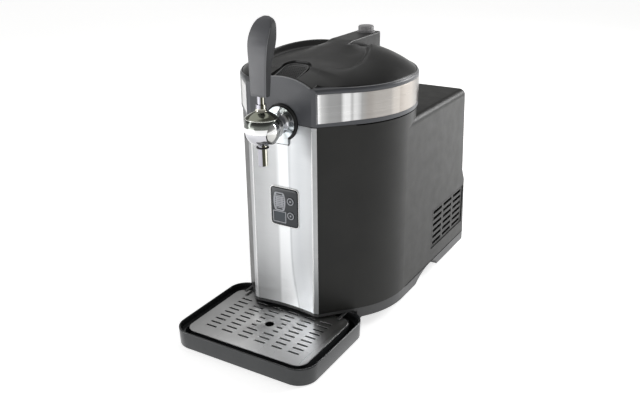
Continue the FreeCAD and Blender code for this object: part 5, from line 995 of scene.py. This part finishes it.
# ---------------------------------------------------------------- drip tray
def make_tray():
    """The tray as one loft of (inset, level): floor, ledge, gutter, rim and underside."""
    profile = filleted([
        (18, 2.4, 0), (18, 20.8, 0.7), (15, 20.8, 0.7), (15, 2.4, 1.2), (8.4, 2.4, 1.2),
        (8.4, 16, 0.9), (2.9, 16, 1.4), (2.6, 25.3, 1.25), (0, 25.3, 1.25), (0.5, 12, 0),
        (0.9, 0, 1.6), (24, 0, 0),
    ], 4, closed=False)
    rings = []
    for inset, level in profile:
        turn = max(27.6 - 0.8 * inset, 4)
        plan = rounded_plan(-110 + inset, -249.6 + inset, 110 - inset, -85 - inset, turn, 12)
        rings.append([(x, y, level) for x, y in plan])
    dish = lofted("tray_dish", rings, sharp=35)
    dress(dish, TRAY, "tray", "gloss_black", "drip_tray")


# ---------------------------------------------------------------- floor, light and camera
FOCAL = 756.704         # focal length in pixels of a picture PICTURE_WIDTH wide
PICTURE_WIDTH = 640.0
SENSOR = 36.0
CAMERA_PLACE = (0.5313, -0.9167, 0.5764)
CAMERA_AIM = (-0.07699, 0.09669, 0.09893)
CAMERA_ROLL = -0.5493   # degrees
SKY = [(0.0, (1.0, 1.0, 1.0)), (0.06, (0.95, 0.95, 0.931)), (0.13, (0.34, 0.34, 0.3332)),
       (0.30, (0.22, 0.22, 0.2156)), (0.60, (0.17, 0.17, 0.1666)), (1.0, (0.16, 0.16, 0.155))]


def make_floor():
    mesh = bpy.data.meshes.new("floor")
    far = 30
    corners = [(-far, -far, 0), (far, -far, 0), (far, far, 0), (-far, far, 0)]
    mesh.from_pydata(corners, [], [(0, 1, 2, 3)])
    thing = bpy.data.objects.new("floor", mesh)
    scene.collection.objects.link(thing)
    f = Finish("pale_floor", Specular_IOR_Level=0.1, Emission_Color=(1, 1, 1, 1),
               Emission_Strength=0.66)
    f.colour(f.noise(1.5, 2.0), (0.84, 0.84, 0.84), (0.86, 0.86, 0.86))
    f.roughness(f.noise(3.0, 2.0), 0.70, 0.75)
    mesh.materials.append(f.material)


def make_world():
    """A plain studio: bright near the level of the horizon, dimmer towards the ceiling."""
    studio = bpy.data.worlds.new("studio")
    studio.use_nodes = True
    scene.world = studio
    tree = studio.node_tree
    place = tree.nodes.new("ShaderNodeTexCoord")
    split = tree.nodes.new("ShaderNodeSeparateXYZ")
    tree.links.new(place.outputs["Generated"], split.inputs["Vector"])
    shade = tree.nodes.new("ShaderNodeValToRGB")
    fill(shade, SKY)
    tree.links.new(split.outputs["Z"], shade.inputs["Fac"])
    back = tree.nodes["Background"]
    tree.links.new(shade.outputs["Color"], back.inputs["Color"])
    back.inputs["Strength"].default_value = 1.0


def make_camera():
    lens = bpy.data.cameras.new("camera")
    lens.sensor_width = SENSOR
    lens.lens = FOCAL * SENSOR / PICTURE_WIDTH
    lens.clip_end = 100.0
    thing = bpy.data.objects.new("camera", lens)
    scene.collection.objects.link(thing)
    place = Vector(CAMERA_PLACE)
    forward = (Vector(CAMERA_AIM) - place).normalized()
    level = forward.cross(Vector((0, 0, 1))).normalized()
    upright = level.cross(forward)
    roll = math.radians(CAMERA_ROLL)
    right = level * math.cos(roll) + upright * math.sin(roll)
    up = upright * math.cos(roll) - level * math.sin(roll)
    turn = Matrix((right, up, -forward)).transposed()
    thing.matrix_world = Matrix.Translation(place) @ turn.to_4x4()
    scene.camera = thing


def make_sun(name, power, spread, turn):
    data = bpy.data.lights.new(name, "SUN")
    data.energy = power
    data.angle = math.radians(spread)
    lamp = bpy.data.objects.new(name, data)
    lamp.rotation_euler = [math.radians(angle) for angle in turn]
    scene.collection.objects.link(lamp)


def make_area(name, place, aim, width, height, power):
    """A soft box that the camera doesn't see."""
    data = bpy.data.lights.new(name, "AREA")
    data.shape = "RECTANGLE"
    data.size, data.size_y = width, height
    data.energy = power
    lamp = bpy.data.objects.new(name, data)
    lamp.visible_camera = False
    lamp.location = place
    lamp.rotation_euler = (Vector(aim) - Vector(place)).to_track_quat("-Z", "Y").to_euler()
    scene.collection.objects.link(lamp)


make_lid()
make_button_marks()
make_handle()
make_barrel()
make_bosses()
make_hood()
make_gasket_and_screw()
make_edges()
make_bands()
make_seams()
make_face()
make_keys()
make_keg_mark()
make_tray()

make_floor()
make_world()
make_camera()
make_sun("overhead", 0.6, 60, (-20, -25, 0))
make_area("rear_box", (0.95, 1.35, 0.85), (0.42, 0.68, 0), 0.8, 0.8, 22.5)
make_area("front_box", (-0.80, -1.25, 0.16), (0, -0.12, 0.10), 1.0, 0.28, 3.2)
make_area("left_box", (-1.5, -1.3, 0.9), (0, -0.05, 0.2), 0.5, 1.4, 9)
scene.view_settings.view_transform = "Standard"
